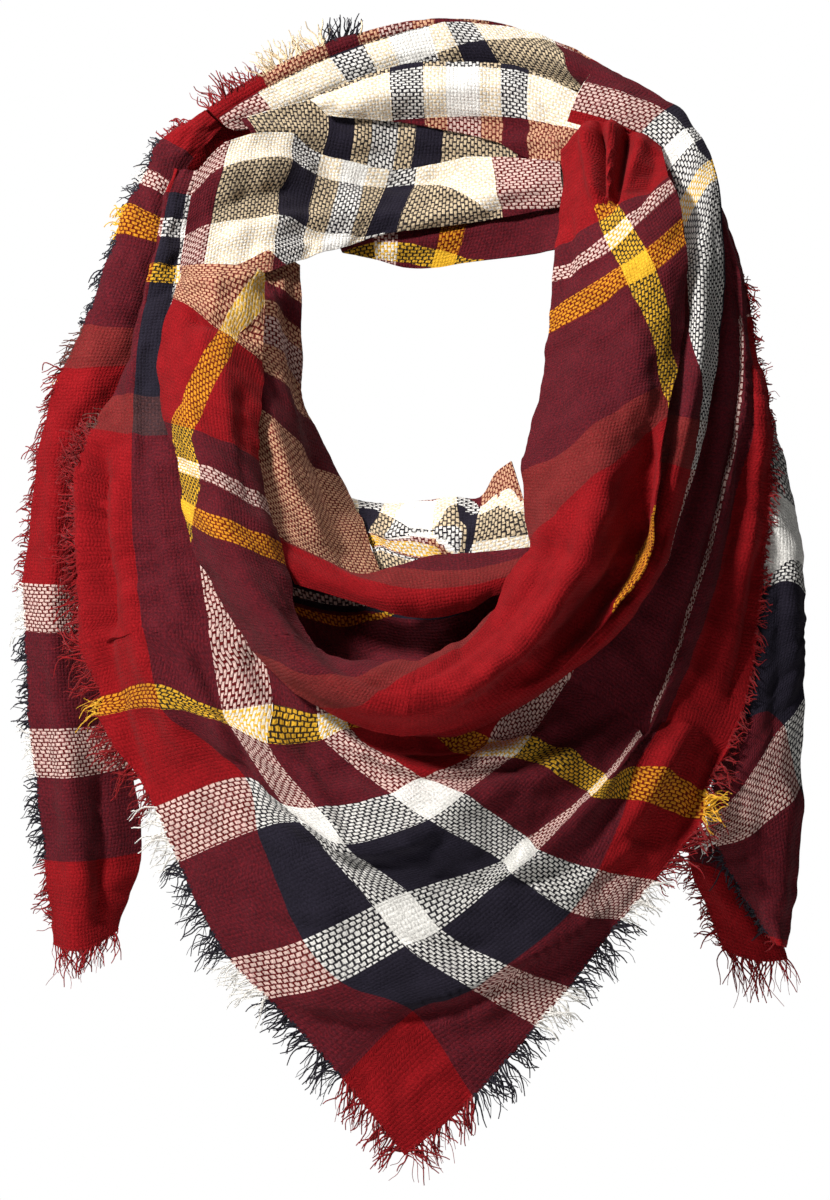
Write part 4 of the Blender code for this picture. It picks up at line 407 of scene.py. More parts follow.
# Creases that only the shells have, as in FOLDS. The roll in front crosses three stretches.
ROLL = """612 470 578 610 440 712 9 10 4
440 712 350 718 262 610 9 9 3.5
560 520 520 640 400 688 6 7 -3.5
400 688 330 678 272 590 6 7 -3
600 545 560 655 430 726 5 6 -2.5"""
CREASES = {
    "bib_front": """735 640 690 720 590 870 16 14 9.8
752 640 722 760 665 860 9 9 -7
742 700 728 760 700 830 8 8 4.2
690 640 640 730 480 800 10 12 4.9
102 600 112 700 150 790 8 8 -4.9
122 560 135 650 200 760 11 13 6.3
150 600 190 660 240 760 9 11 4.2
196 650 215 700 262 790 6 8 -3.5
330 900 420 960 500 940 9 10 -3.5
360 1010 440 1040 520 985 10 12 3.5
240 900 300 920 350 905 8 8 2.8
430 870 500 900 580 860 8 9 -3.5
300 760 330 800 345 860 7 8 3.5
560 900 600 860 640 840 7 8 3.5
470 760 520 745 570 715 6 8 3.5
400 1100 430 1060 470 1050 8 8 2.5
345 730 420 765 520 730 5 6 -4.2""",
    "bib_left": """84 440 84 560 96 680 6 6 7
102 440 102 540 114 650 7 7 -11.2
116 470 124 560 150 660 9 10 5.6
150 450 160 540 196 640 8 9 3.5
142 420 150 520 172 640 5 6 -3.1
132 360 134 420 140 470 6 6 2.8""",
    "bib_right": """744 330 738 560 648 738 6 7 1.8
757 360 762 520 715 690 8 9 5.6
766 520 748 620 722 720 6 7 -5.6
746 420 738 560 686 700 6 7 -4.9
728 380 708 540 640 680 7 8 4.2
714 400 694 540 620 650 6 7 -3.5""",
    "left_roll": """228 310 214 420 262 510 9 10 2.5
248 380 232 450 262 520 6 7 -2.5
190 380 196 470 250 560 8 9 2.2
212 500 235 580 300 640 9 9 2.5
198 560 232 620 280 668 7 8 -2.2
206 275 196 310 176 350 6 8 -2
222 275 214 320 196 360 7 8 2.2
255 470 262 540 300 600 6 7 1.8
""" + ROLL + """
180 286 225 282 266 274 6 8 5
184 320 222 316 264 342 8 8 -7""",
    "cowl_lip": """282 655 330 700 410 715 8 9 2.5
290 640 340 682 420 695 6 7 -2
""" + ROLL,
    "right_roll": """588 118 590 165 601 212 6 6 8
613 118 612 165 605 212 6 6 9
643 134 636 170 612 210 8 8 7
601 118 601 165 602 208 4 4 -10
628 124 624 168 609 208 5 5 -12
658 150 652 190 630 220 6 6 -3
566 215 576 250 560 300 7 8 -2.5
612 260 640 340 646 440 10 11 2.5
570 350 602 420 596 500 10 12 2.2
600 330 622 400 618 470 7 8 -2
545 470 560 560 470 660 9 10 2.5
575 470 580 560 500 640 8 9 -2
648 470 632 612 470 708 9 8 -6
560 390 560 440 540 500 8 9 -2
648 420 648 490 632 560 6 6 -6
""" + ROLL,
    "right_fold": """700 200 696 300 706 390 6 7 2
712 190 720 280 708 380 5 6 -1.8
676 410 668 500 640 600 6 7 2""",
    "inner_left": """268 270 278 380 322 560 7 8 3.1
284 280 292 400 350 560 6 7 -3.1
262 400 290 500 340 570 6 7 2.8""",
    "back_lower": """205 180 250 150 330 175 12 16 5.6
215 250 270 205 360 225 9 12 4.2
300 150 380 200 470 165 8 12 -5.6
330 200 400 240 520 190 9 9 4.2
210 215 260 180 300 190 6 7 -3.5
250 262 290 240 330 250 6 7 2.8
420 180 470 205 560 180 6 7 2.8""",
    "back_upper": """240 120 360 60 470 45 8 10 4.2
470 60 560 75 640 105 8 9 -3.5
330 80 400 55 450 50 6 7 -2.8
520 40 590 62 660 105 7 8 3.5""",
    "back_middle": """320 108 420 80 540 84 9 12 4.2
380 120 450 110 560 130 8 8 -4.2
500 145 540 130 590 140 6 7 3.5
540 100 560 130 568 170 6 7 -2.8""",
    "back_valley": """250 130 330 120 440 165 8 10 4.2
330 160 400 140 500 160 6 7 -3.5""",
    "back_inner": """380 250 440 240 520 210 7 8 3.5
400 222 460 225 540 200 6 7 -3.5""",
    "left_tail": """60 400 52 520 56 700 8 9 3.5
86 400 76 540 84 700 7 8 -3.5
66 720 72 820 90 930 10 10 3.5
100 760 110 840 100 930 7 8 -4.9
44 640 46 740 60 860 6 7 -2.5
140 190 120 260 84 350 6 7 2.8""",
    "right_tail": """790 520 796 620 786 740 7 8 2.8
776 560 782 660 766 760 6 7 -2.8
790 780 780 850 776 920 8 9 3.5
760 790 756 840 765 900 7 8 -2.8""",
    "right_tail_corner": """700 860 730 900 760 950 8 9 2""",
    "back_outer": """150 180 280 120 440 110 14 18 5
170 280 300 200 480 190 14 16 5
230 150 380 170 560 120 12 14 -4
420 60 560 90 680 200 14 16 5
440 210 560 200 690 290 12 14 4
500 150 600 160 690 250 11 12 -4
300 80 380 60 460 70 10 12 3""",
}

# ------------------------------------------------------------------ the tartan
# The yarns, each with its colour and how much nap it has: 1 hides the weave, 0 leaves it crisp.
YARNS = {
    "red": ((0.25, 0.006, 0.009), 1.0), "navy": ((0.017, 0.0144, 0.0242), 1.0),
    "white": ((0.88, 0.86, 0.82), 0.0), "yellow": ((0.84, 0.46, 0.03), 0.1),
    "camel": ((0.82, 0.65, 0.42), 0.12), "tan": ((0.125, 0.042, 0.034), 0.9),
}
# The two setts: from where along the square's side each yarn runs, in the order of the yarns.
SETT_L = [
    (0, "red"), (76, "navy"), (133, "white"), (169, "navy"), (229, "white"), (268, "red"),
    (322, "yellow"), (339, "red"), (464, "tan"), (491, "navy"), (557, "yellow"), (572, "navy"),
    (586, "white"), (603, "navy"), (617, "red"), (677, "camel"), (717, "navy"), (733, "camel"),
    (745, "white"), (765, "camel"), (777, "navy"), (793, "camel"), (833, "red"),
]
SETT_R = [
    (0, "red"), (55, "navy"), (98, "white"), (133, "navy"), (190, "white"), (224, "red"),
    (280, "yellow"), (296, "red"),
]
YARN_ALONG = 2.2     # from one yarn to the next, along l
YARN_ACROSS = 2.2    # and along r

# ------------------------------------------------------------------ the fringes
# name: the stretch, the raw edge, where along it the fringe starts and ends, its reach, its sag,
# and how untidy it is.
FRINGES = {
    "fringe_tip_left": ("bib_front", "first_station", 0.0, 1.0, 19.0, 0.25, 1.0),
    "fringe_tip_right": ("bib_front", "first_row", 0.0, 0.97, 19.0, 0.25, 1.0),
    "fringe_side_left": ("bib_left", "first_station", 0.0, 0.45, 16.0, 0.2, 1.3),
    "fringe_side_right": ("bib_right", "first_station", 0.0, 0.85, 9.0, 0.2, 1.2),
    "fringe_tail_left": ("left_tail", "first_station", 0.02, 0.98, 12.0, 0.3, 1.0),
    "fringe_tail_left_end": ("left_tail", "first_row", 0.0, 1.0, 19.0, 0.2, 1.0),
    "fringe_tail_right": ("right_tail_corner", "first_row", 0.0, 1.0, 19.0, 0.5, 1.0),
    "fringe_tail_right_side": ("right_tail", "first_station", 0.0, 0.4, 12.0, 0.3, 1.0),
    "fringe_back": ("back_edge", "first_station", 0.0, 0.5, 17.0, 0.0, 0.8),
}
# The same for a second raw edge of a fringe.
ROUND_THE_CORNER = {
    "fringe_tail_right": ("right_tail_corner", "first_station", 0.0, 0.85, 12.0, 0.3, 1.1),
}
SEED = 11            # where the random draws start


# ------------------------------------------------------------------ the solids' surfaces
def tangents(knots, values):
    """Slopes of a smooth curve through values, from each knot's neighbours."""
    slopes = np.empty_like(values)
    slopes[1:-1] = (values[2:] - values[:-2]) / (knots[2:] - knots[:-2])[:, None]
    slopes[0] = (values[1] - values[0]) / (knots[1] - knots[0])
    slopes[-1] = (values[-1] - values[-2]) / (knots[-1] - knots[-2])
    return slopes


def smooth(knots, values, places):
    """Values at places on the smooth curve through values at knots. The last two values of
    each, where a point has five, are its places on the square, which run straight."""
    slopes = tangents(knots, values)
    i = np.clip(np.searchsorted(knots, places, side="right") - 1, 0, len(knots) - 2)
    h = (knots[i + 1] - knots[i])[:, None]
    t = ((places - knots[i]) / (knots[i + 1] - knots[i]))[:, None]
    curve = (
        (2 * t**3 - 3 * t**2 + 1) * values[i]
        + (t**3 - 2 * t**2 + t) * h * slopes[i]
        + (-2 * t**3 + 3 * t**2) * values[i + 1]
        + (t**3 - t**2) * h * slopes[i + 1]
    )
    curve[:, 3:] = (values[i] * (1 - t) + values[i + 1] * t)[:, 3:]
    return curve


def chord_knots(points):
    """Knots for a run of points, by their mean distance from one to the next."""
    steps = np.linalg.norm(np.diff(points[..., :3], axis=0), axis=2).mean(axis=1)
    return np.concatenate([[0.0], np.cumsum(np.maximum(steps, SHORTEST))])


def placed(across, down):
    """x and z of a place given in steps."""
    return round((across - ORIGIN[0]) * STEP, 2), round((ORIGIN[1] - down) * STEP, 2)


def ridges(table, name):
    """A stretch's folds or creases: the three places (x, z) of each one's line, its width on
    the left and on the right, and its height."""
    for text in table.get(name, "").splitlines():
        *places, left, right, height = [float(number) for number in text.split()]
        bends = np.array([placed(*places[k:k + 2]) for k in (0, 2, 4)])
        yield bends, round(left * STEP, 2), round(right * STEP, 2), height


def fold_push(points, ridge):
    """How far a fold pushes each point forward."""
    bends, left, right, height = ridge
    t = np.linspace(0, 1, FOLD_POINTS)
    s = t[:, None]
    line = bends[0] * (1 - s) ** 2 + bends[1] * 2 * s * (1 - s) + bends[2] * s**2
    along = np.gradient(line, axis=0)
    flat = points[..., [0, 2]].reshape(-1, 2)
    near = np.zeros(len(flat), dtype=int)
    best = np.full(len(flat), np.inf)
    for k, place in enumerate(line):
        gap = ((flat - place) ** 2).sum(1)
        closer = gap < best
        near[closer] = k
        best[closer] = gap[closer]
    d = flat - line[near]
    side = along[near, 0] * d[:, 1] - along[near, 1] * d[:, 0]
    size = np.hypot(d[:, 0], d[:, 1])
    width = np.where(side > 0, left, right)
    fade = np.clip(np.minimum(t[near], 1 - t[near]) * FOLD_FADE, 0, 1)
    push = height * np.exp(-((size / width) ** 2)) * fade
    return push.reshape(points.shape[:-1])


def net_of(name):
    """A stretch's stations as a net of points (x, y, z, l, r)."""
    head, *sections = STRETCHES[name].split(";")
    net = []
    for section in sections:
        l, stations = section.split(":")
        net.append([])
        for station, r in zip(stations.split(","), head.split()):
            given = station.split()
            across, down, front, *place = [float(n) for n in given + [r, l][len(given) - 3:]]
            x, z = placed(across, down)
            net[-1].append((x, -front, z, *(place if name in ROWS_BY_R else place[::-1])))
    return np.array(net)


def sheet(name, cells):
    """The middle surface of a stretch as a grid of points (x, y, z, l, r), and the places of
    its rows and columns along the cloth."""
    net = net_of(name)
    across = chord_knots(net.transpose(1, 0, 2))
    columns = np.linspace(0, across[-1], cells[1] + 1)
    wide = np.stack([smooth(across, line, columns) for line in net])
    along = chord_knots(wide)
    rows = np.linspace(0, along[-1], cells[0] + 1)
    grid = np.stack([smooth(along, wide[:, j], rows) for j in range(wide.shape[1])], axis=1)
    for ridge in ridges(FOLDS, name):
        grid[..., 1] -= fold_push(grid, ridge)
    return grid, rows, columns


def normals(grid):
    """Unit normals of a grid of points."""
    n = np.cross(np.gradient(grid, axis=0), np.gradient(grid, axis=1))
    return n / np.maximum(np.linalg.norm(n, axis=2, keepdims=True), 1e-9)


def resampled(grid, shape):
    """The grid at other counts of rows and columns, straight between its own points."""
    for axis in (0, 1):
        count = grid.shape[axis]
        places = np.linspace(0, count - 1, shape[axis])
        low = np.minimum(places.astype(int), count - 2)
        part = (places - low).reshape((-1, 1, 1) if axis == 0 else (1, -1, 1))
        grid = np.take(grid, low, axis) * (1 - part) + np.take(grid, low + 1, axis) * part
    return grid


def denser(grid, times):
    """The grid with straight-line points put between its own."""
    rows, columns = grid.shape[:2]
    return resampled(grid, ((rows - 1) * times + 1, (columns - 1) * times + 1))


def spread(push, share=PUSH_SHARE):
    """The push of each point, handed on in part to the points beside it."""
    wide = np.pad(push, 1, mode="edge")
    beside = [wide[:-2, 1:-1], wide[2:, 1:-1], wide[1:-1, :-2], wide[1:-1, 2:]]
    return np.maximum(push, share * np.maximum.reduce(beside))


def slack_behind(grid, fronts):
    """How far each point lies behind what is in front of it, infinite where nothing is."""
    fine = denser(grid, FINER)
    slack = np.full(fine.shape[:2], np.inf)
    for front in fronts:
        cover = denser(front, COVER_FINER)
        slope = np.clip(np.abs(normals(cover)[..., 1]), STEEPEST, 1).ravel()
        cover = cover.reshape(-1, 3)
        for i in range(fine.shape[0]):
            gap = (fine[i, :, None, 0] - cover[None, :, 0]) ** 2
            gap += (fine[i, :, None, 2] - cover[None, :, 2]) ** 2
            near = gap.argmin(axis=1)
            there = gap[np.arange(len(near)), near] < REACH**2
            need = cover[near, 1] + THICK / slope[near] + CLEARANCE
            slack[i] = np.where(there, np.minimum(slack[i], fine[i, :, 1] - need), slack[i])
    wide = np.pad(slack, FINER - 1, constant_values=np.inf)
    rows, columns = slack.shape
    for k in range(2 * FINER - 1):
        for m in range(2 * FINER - 1):
            slack = np.minimum(slack, wide[k:k + rows, m:m + columns])
    return slack[::FINER, ::FINER]


def laid_behind(grid, fronts):
    """The grid moved just behind the stretches that lie in front of it."""
    for turn in range(LAY_TURNS):
        slack = slack_behind(grid, fronts) if fronts else np.full(grid.shape[:2], np.inf)
        if not np.isfinite(slack).any():
            return grid
        if slack.min() > 0:
            grid[..., 1] -= slack.min() if turn == 0 else 0
            return grid
        push = np.where(np.isfinite(slack), np.maximum(-slack, 0), 0)
        for _ in range(PUSH_TURNS):
            push = spread(push)
        grid[..., 1] += push
    return grid


def last_edge(grid, edge):
    """The points along the far edge of a grid: its last row or its last stations."""
    return grid[-1] if edge == "last_row" else grid[:, -1]


def drawn_back(grid, name, surfaces):
    """The stretch's first section, brought to the edge that it carries on from."""
    if name not in SEAMS:
        return grid
    other, edge, seam = SEAMS[name]
    border = last_edge(denser(surfaces[other], BORDER_FINER), edge)
    inward = grid[1] - grid[0]
    inward /= np.linalg.norm(inward, axis=1, keepdims=True)
    gap = ((grid[0][:, None] - border[None]) ** 2).sum(2)
    grid[0] = border[gap.argmin(axis=1)] + seam * inward
    return grid


def solid_moves():
    """How far each stretch of the solids was moved when they were laid on each other."""
    surfaces, moves = {}, {}
    for name, (*cells, _, _, moved, fronts) in LAID.items():
        drawn = sheet(name, cells)[0][..., :3]
        grid = drawn_back(drawn.copy(), name, surfaces)
        surfaces[name] = laid_behind(grid, [surfaces[front] for front in fronts.split()])
        drawn_back(surfaces[name], name, surfaces)
        moves[name] = surfaces[name] - drawn
        moves[name][..., 1] += moved
    return moves


# ------------------------------------------------------------------ the shells
# The raster that tells, seen from the front, what lies behind what: the side of a cell, where the
# first one starts (x, z), and how many there are.
RASTER = 1.6
RASTER_LOW = np.array([-300.0, -620.0])
RASTER_SHAPE = (380, 520)
AIR = 0.5            # what stays free between two shells
CLEAR = 0.05         # a smaller push is left out
BACK_TURNS = 2       # how many times a shell is pushed back, and in each of them
BACK_SPREADS = 6     # how many times the push is handed on to the points beside,
BACK_SHARE = 0.86    # what share of it is,
BACK_SMOOTHS = 4     # and how many times it is smoothed
# Small waves: how many, how much shorter and lower each is than the one before, their strength,
# and how far and how often the lines bend that they follow, along the stretch and across it.
WAVE_COUNT = 14
WAVE_SHORTER = 0.78 ** (1 / 1.6)
WAVE_LOWER = 1.15
WAVE_STRENGTH = 0.6
WAVE_BENDS = (((9, 31), (5, 13)), ((9, 29), (5, 15)))
# A shell that carries on from another: how far in from the edge it is eased onto it, and how
# many seams long its tuck under that edge is, outward and back.
EASED = 24.0
EDGE_FINER = 6
TUCK = 2.6
TUCK_BACK = 0.6
JUMP = (42.0, 14.0)  # a longer step from one point to the next, in l and in r, is a fold's edge
SHARP = 65           # an edge sharper than this many degrees stays sharp


def raster_places(points):
    """The raster cell of each point, seen from the front."""
    cell = ((points[..., [0, 2]] - RASTER_LOW) / RASTER).astype(int)
    return np.clip(cell, 0, np.array(RASTER_SHAPE) - 1)


def depth_map(grid):
    """How far back a shell reaches in each raster cell."""
    deep = np.full(RASTER_SHAPE, -np.inf)
    dense = denser(grid[..., :3], 2)
    cell = raster_places(dense)
    np.maximum.at(deep, (cell[..., 0].ravel(), cell[..., 1].ravel()), dense[..., 1].ravel())
    wide = np.pad(deep, 1, constant_values=-np.inf)
    for i in range(3):
        for j in range(3):
            deep = np.maximum(deep, wide[i:i + deep.shape[0], j:j + deep.shape[1]])
    return deep


def kept_behind(grid, maps, gap):
    """The shell pushed back wherever it would come through one in front of it."""
    if not maps:
        return
    deep = np.maximum.reduce(maps)
    for _ in range(BACK_TURNS):
        cell = raster_places(grid)
        need = deep[cell[..., 0], cell[..., 1]] + gap
        push = np.where(np.isfinite(need), np.maximum(need - grid[..., 1], 0), 0)
        if push.max() < CLEAR:
            return
        for _ in range(BACK_SPREADS):
            push = spread(push, BACK_SHARE)
        for _ in range(BACK_SMOOTHS):
            wide = np.pad(push, 1, mode="edge")
            beside = (wide[:-2, 1:-1] + wide[2:, 1:-1] + wide[1:-1, :-2] + wide[1:-1, 2:]) / 4
            push = np.maximum(push * 0.5 + beside * 0.5, 0)
        grid[..., 1] += push


def waves(rows, columns, height, length, seed):
    """Small uneven waves over a shell, as heights."""
    draw = np.random.default_rng(seed)
    u, v = np.meshgrid(rows, columns, indexing="ij")
    bent = [u.copy(), v.copy()]
    for line, other, bends in zip(bent, (v, u), WAVE_BENDS):
        for far, often in bends:
            line += far * np.sin(other / often + draw.uniform(0, 6))
    total = np.zeros_like(u)
    for k in range(WAVE_COUNT):
        size = length * WAVE_SHORTER**k
        turn = draw.uniform(0, math.pi)
        phase = draw.uniform(0, 2 * math.pi)
        run = bent[0] * math.cos(turn) + bent[1] * math.sin(turn)
        wave = np.sin(run * 2 * math.pi / size + phase)
        total += height * (size / length) ** WAVE_LOWER * wave * WAVE_STRENGTH
    return total


def shells():
    """Every stretch as a fine grid (x, y, z, l, r), with its rows' and columns' places."""
    made = {}
    maps = {}
    moves = solid_moves()
    for number, (name, (*cells, high, long, _, fronts)) in enumerate(LAID.items()):
        _, rows, columns = sheet(name, cells)
        cells = [max(FEWEST, round(side[-1] / CELL)) for side in (rows, columns)]
        grid, rows, columns = sheet(name, cells)
        grid[..., :3] += resampled(moves[name], grid.shape[:2])
        out = -np.sign(normals(grid[..., :3])[..., 1].mean()) * normals(grid[..., :3])
        for ridge in ridges(CREASES, name):
            grid[..., :3] += out * fold_push(grid, ridge)[..., None]
        grid[..., :3] += out * waves(rows, columns, high, long, SEED + number)[..., None]
        kept_behind(grid, [maps[front] for front in fronts.split()], SHELL + AIR)
        if name in SEAMS:
            other, edge, seam = SEAMS[name]
            joined(grid, last_edge(made[other][0], edge), rows, seam)
        maps[name] = depth_map(grid)
        made[name] = (grid, rows, columns)
    return made


def joined(grid, border, rows, seam):
    """The first rows of a shell eased onto the edge that it carries on from."""
    steps = np.linspace(0, len(border) - 1, len(border) * EDGE_FINER)
    low = np.minimum(steps.astype(int), len(border) - 2)
    part = (steps - low)[:, None]
    fine = border[low] * (1 - part) + border[low + 1] * part
    gap = ((grid[0][:, None, :3] - fine[None, :, :3]) ** 2).sum(2)
    move = fine[gap.argmin(axis=1)][:, :3] - grid[0][:, :3]
    ease = np.clip(1 - rows / EASED, 0, 1) ** 2
    grid[..., :3] += ease[:, None, None] * move[None]
    tuck = grid[0, :, :3] - grid[1, :, :3]
    tuck /= np.linalg.norm(tuck, axis=1, keepdims=True)
    grid[0, :, :3] += TUCK * seam * tuck + (0, TUCK_BACK * seam, 0)


def add_mesh(name, vertices, faces, layers, material):
    """An object from vertices in millimetres, with one UV map for each item of layers."""
    mesh = bpy.data.meshes.new(name)
    mesh.vertices.add(len(vertices))
    mesh.vertices.foreach_set("co", (vertices * MM).ravel())
    sides = faces.shape[1]
    mesh.loops.add(faces.size)
    mesh.loops.foreach_set("vertex_index", faces.ravel())
    mesh.polygons.add(len(faces))
    mesh.polygons.foreach_set("loop_start", np.arange(0, faces.size, sides))
    mesh.update(calc_edges=True)
    mesh.validate()
    for layer, values in layers.items():
        corners = values[faces]
        if layer == "Sett":
            jumps = np.ptp(corners, axis=1, keepdims=True) > JUMP
            corners = np.where(jumps, corners[:, :1], corners)
        uv = mesh.uv_layers.new(name=layer)
        uv.data.foreach_set("uv", (corners * MM).ravel())
    mesh.materials.append(material)
    mesh.shade_smooth()
    mesh.set_sharp_from_angle(angle=math.radians(SHARP))
    made = bpy.data.objects.new(name, mesh)
    bpy.context.scene.collection.objects.link(made)
    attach(made, "root")
    return made


def add_shell(name, grid, rows, columns, material):
    """One stretch of cloth, as a closed thin shell."""
    n = normals(grid[..., :3]) * SHELL / 2
    count = grid.shape[0] * grid.shape[1]
    vertices = np.concatenate([(grid[..., :3] + n).reshape(-1, 3),
                               (grid[..., :3] - n).reshape(-1, 3)])
    index = np.arange(count).reshape(grid.shape[:2])
    a, b, c, d = index[:-1, :-1], index[:-1, 1:], index[1:, 1:], index[1:, :-1]
    top = np.stack([a, d, c, b], axis=-1).reshape(-1, 4)
    under = np.stack([a, b, c, d], axis=-1).reshape(-1, 4) + count
    rim = np.concatenate([index[0, :-1], index[:-1, -1], index[-1, :0:-1], index[:0:-1, 0]])
    following = np.roll(rim, -1)
    side = np.stack([rim, following, following + count, rim + count], axis=-1)
    along = np.repeat(rows[:, None], len(columns), axis=1)
    steps = np.linalg.norm(np.diff(grid[..., :3], axis=1), axis=2)
    across = np.pad(np.cumsum(steps, axis=1), ((0, 0), (1, 0)))
    across -= across[:, len(columns) // 2, None]
    if name in ROWS_BY_R:
        along, across = across, along
    sett = np.tile(grid[..., 3:].reshape(-1, 2), (2, 1))
    weave = np.tile(np.stack([along, across], axis=-1).reshape(-1, 2), (2, 1))
    made = add_mesh(name + "_cloth", vertices, np.concatenate([top, under, side]),
                    {"Sett": sett, "Weave": weave}, material)
    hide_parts(name)
    return made


# ------------------------------------------------------------------ the yarn ends
ENDS_PER_MM = 1.3    # yarn ends along a raw edge, frayed strands included
TANGLED = 1.25       # a fringe more untidy than this
TANGLED_PER_MM = 3.6  # has more of them
POINTS = 10          # points along a yarn end
YARN = 0.62          # a yarn end's radius at its root
TAPER = 0.5          # what it loses of it on the way to its tip
FINE = (0.4, 0.5)    # the share of yarn ends that are split, and what is left of their radius
ROOT = 1.5           # how far in from the edge it starts
ROOT_STRAYS = (0.5, 0.25)  # how far it strays there, along the edge and off the cloth
LEAN = (0.4, 0.2)    # its lean along the edge, with its clump and on its own
LIFT = 0.25          # its lean off the cloth
LENGTHS = (0.55, 1.2)  # how short and how long it can be, as a share of the fringe's reach there
REACHES = (0.85, 0.12, 9, 23)  # that reach's mean and swing, how long its waves are and their drift
# The clumps: their strength, how far apart they are, and how far and how slowly that strays.
CLUMPS = ((1, 3.1, 2, 17), (0.7, 7.3, 1.7, 11))
SWINGS = ((1, 0.14), (2.2, 0.065), (4, 0.02))  # its bends: how many turns, and how far


def border_of(grid, edge):
    """A raw edge's points, those a little further in, and the steps along the edge."""
    border, inside = (grid[0], grid[2]) if edge == "first_row" else (grid[:, 0], grid[:, 2])
    return border, inside, np.linalg.norm(np.diff(border[:, :3], axis=0), axis=1)


def edge_of(grid, edge, start, stop, count):
    """Points along a raw edge with their places on the square, and the directions there,
    outward and onward."""
    border, inside, steps = border_of(grid, edge)
    run = np.concatenate([[0], np.cumsum(steps)])
    places = np.linspace(start, stop, count) * run[-1]
    base = np.stack([np.interp(places, run, border[:, k]) for k in range(5)], axis=1)
    inner = np.stack([np.interp(places, run, inside[:, k]) for k in range(3)], axis=1)
    out = base[:, :3] - inner
    out /= np.linalg.norm(out, axis=1, keepdims=True)
    ahead = np.gradient(base[:, :3], axis=0)
    ahead /= np.linalg.norm(ahead, axis=1, keepdims=True)
    return base, out, ahead


def strands(grid, row, seed):
    """The yarn ends of a fringe as tubes: vertices, faces and places on the square."""
    _, edge, start, stop, reach, sag, untidy = row
    draw = np.random.default_rng(seed)
    run = border_of(grid, edge)[2].sum() * (stop - start)
    count = int(run * (TANGLED_PER_MM if untidy > TANGLED else ENDS_PER_MM))
    base, out, ahead = edge_of(grid, edge, start, stop, count)
    facing = np.cross(out, ahead)
    facing /= np.linalg.norm(facing, axis=1, keepdims=True)
    strays = [draw.normal(0, stray, (count, 1)) for stray in ROOT_STRAYS]
    base[:, :3] += ahead * strays[0] + facing * strays[1]
    base[:, :3] -= out * ROOT
    s = np.linspace(0, run, count)
    clump = sum(strength * np.sin(s / apart + far * np.sin(s / slowly))
                for strength, apart, far, slowly in CLUMPS)
    lean = LEAN[0] * clump * untidy + draw.normal(0, LEAN[1], count) * untidy
    lift = draw.normal(0, LIFT, count) * untidy
    mean, swing, wave, drift = REACHES
    long = reach * (mean + swing * np.sin(s / wave + np.sin(s / drift)))
    long = long * draw.uniform(*LENGTHS, count)
    t = np.linspace(0, 1, POINTS)[None, :, None]
    heading = out + ahead * lean[:, None] + facing * lift[:, None]
    heading /= np.linalg.norm(heading, axis=1, keepdims=True)
    line = base[:, None, :3] + heading[:, None] * t * long[:, None, None]
    for k, swing in SWINGS:
        a, b = draw.normal(0, swing, (2, count, 1, 1)) * long[:, None, None] * untidy
        phase = draw.uniform(0, 6.28, (count, 1, 1))
        line = line + ahead[:, None] * a * (np.sin(k * 3 * t + phase) - np.sin(phase))
        line = line + facing[:, None] * b * (np.cos(k * 3 * t + phase) - np.cos(phase))
    line[..., 2] -= (sag * long[:, None, None] * t**2)[..., 0]
    along = np.gradient(line, axis=1)
    along /= np.maximum(np.linalg.norm(along, axis=2, keepdims=True), 1e-6)
    side = np.cross(along, facing[:, None] + 0.01)
    side /= np.maximum(np.linalg.norm(side, axis=2, keepdims=True), 1e-6)
    up = np.cross(side, along)
    fine = draw.uniform(0, 1, (count, 1, 1)) < FINE[0]
    radius = np.where(fine, FINE[1], 1.0) * YARN * (1 - TAPER * t)
    rings = [line + radius * (side * math.cos(q) + up * math.sin(q))
             for q in np.arange(4) * math.pi / 2]
    vertices = np.stack(rings, axis=2).reshape(-1, 3)
    start_of = np.arange(count)[:, None, None] * POINTS * 4
    ring = np.arange(POINTS - 1)[None, :, None] * 4
    q = np.arange(4)[None, None]
    r = (q + 1) % 4
    faces = np.stack([start_of + ring + q, start_of + ring + r, start_of + ring + 4 + r,
                      start_of + ring + 4 + q], axis=-1).reshape(-1, 4)
    first = start_of[:, 0] + np.array([[3, 2, 1, 0]])
    last = start_of[:, 0] + (POINTS - 1) * 4 + np.array([[0, 1, 2, 3]])
    faces = np.concatenate([faces, first, last])
    sett = np.repeat(base[:, 3:], POINTS * 4, axis=0)
    return vertices, faces, sett


def add_fringe(name, made, materials):
    """The yarn ends along one raw edge, as one joined mesh."""
    row = FRINGES[name]
    grid = made[row[0]][0]
    vertices, faces, sett = strands(grid, row, SEED + len(name) * 7 + len(row[0]))
    if name in ROUND_THE_CORNER:
        more = strands(grid, ROUND_THE_CORNER[name], SEED)
        faces = np.concatenate([faces, more[1] + len(vertices)])
        vertices, sett = np.concatenate([vertices, more[0]]), np.concatenate([sett, more[2]])
    by_r = (row[1] == "first_row") != (row[0] in ROWS_BY_R)
    fringe = add_mesh(name + "_yarns", vertices, faces, {"Sett": sett}, materials[by_r])
    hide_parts(name)
    return fringe


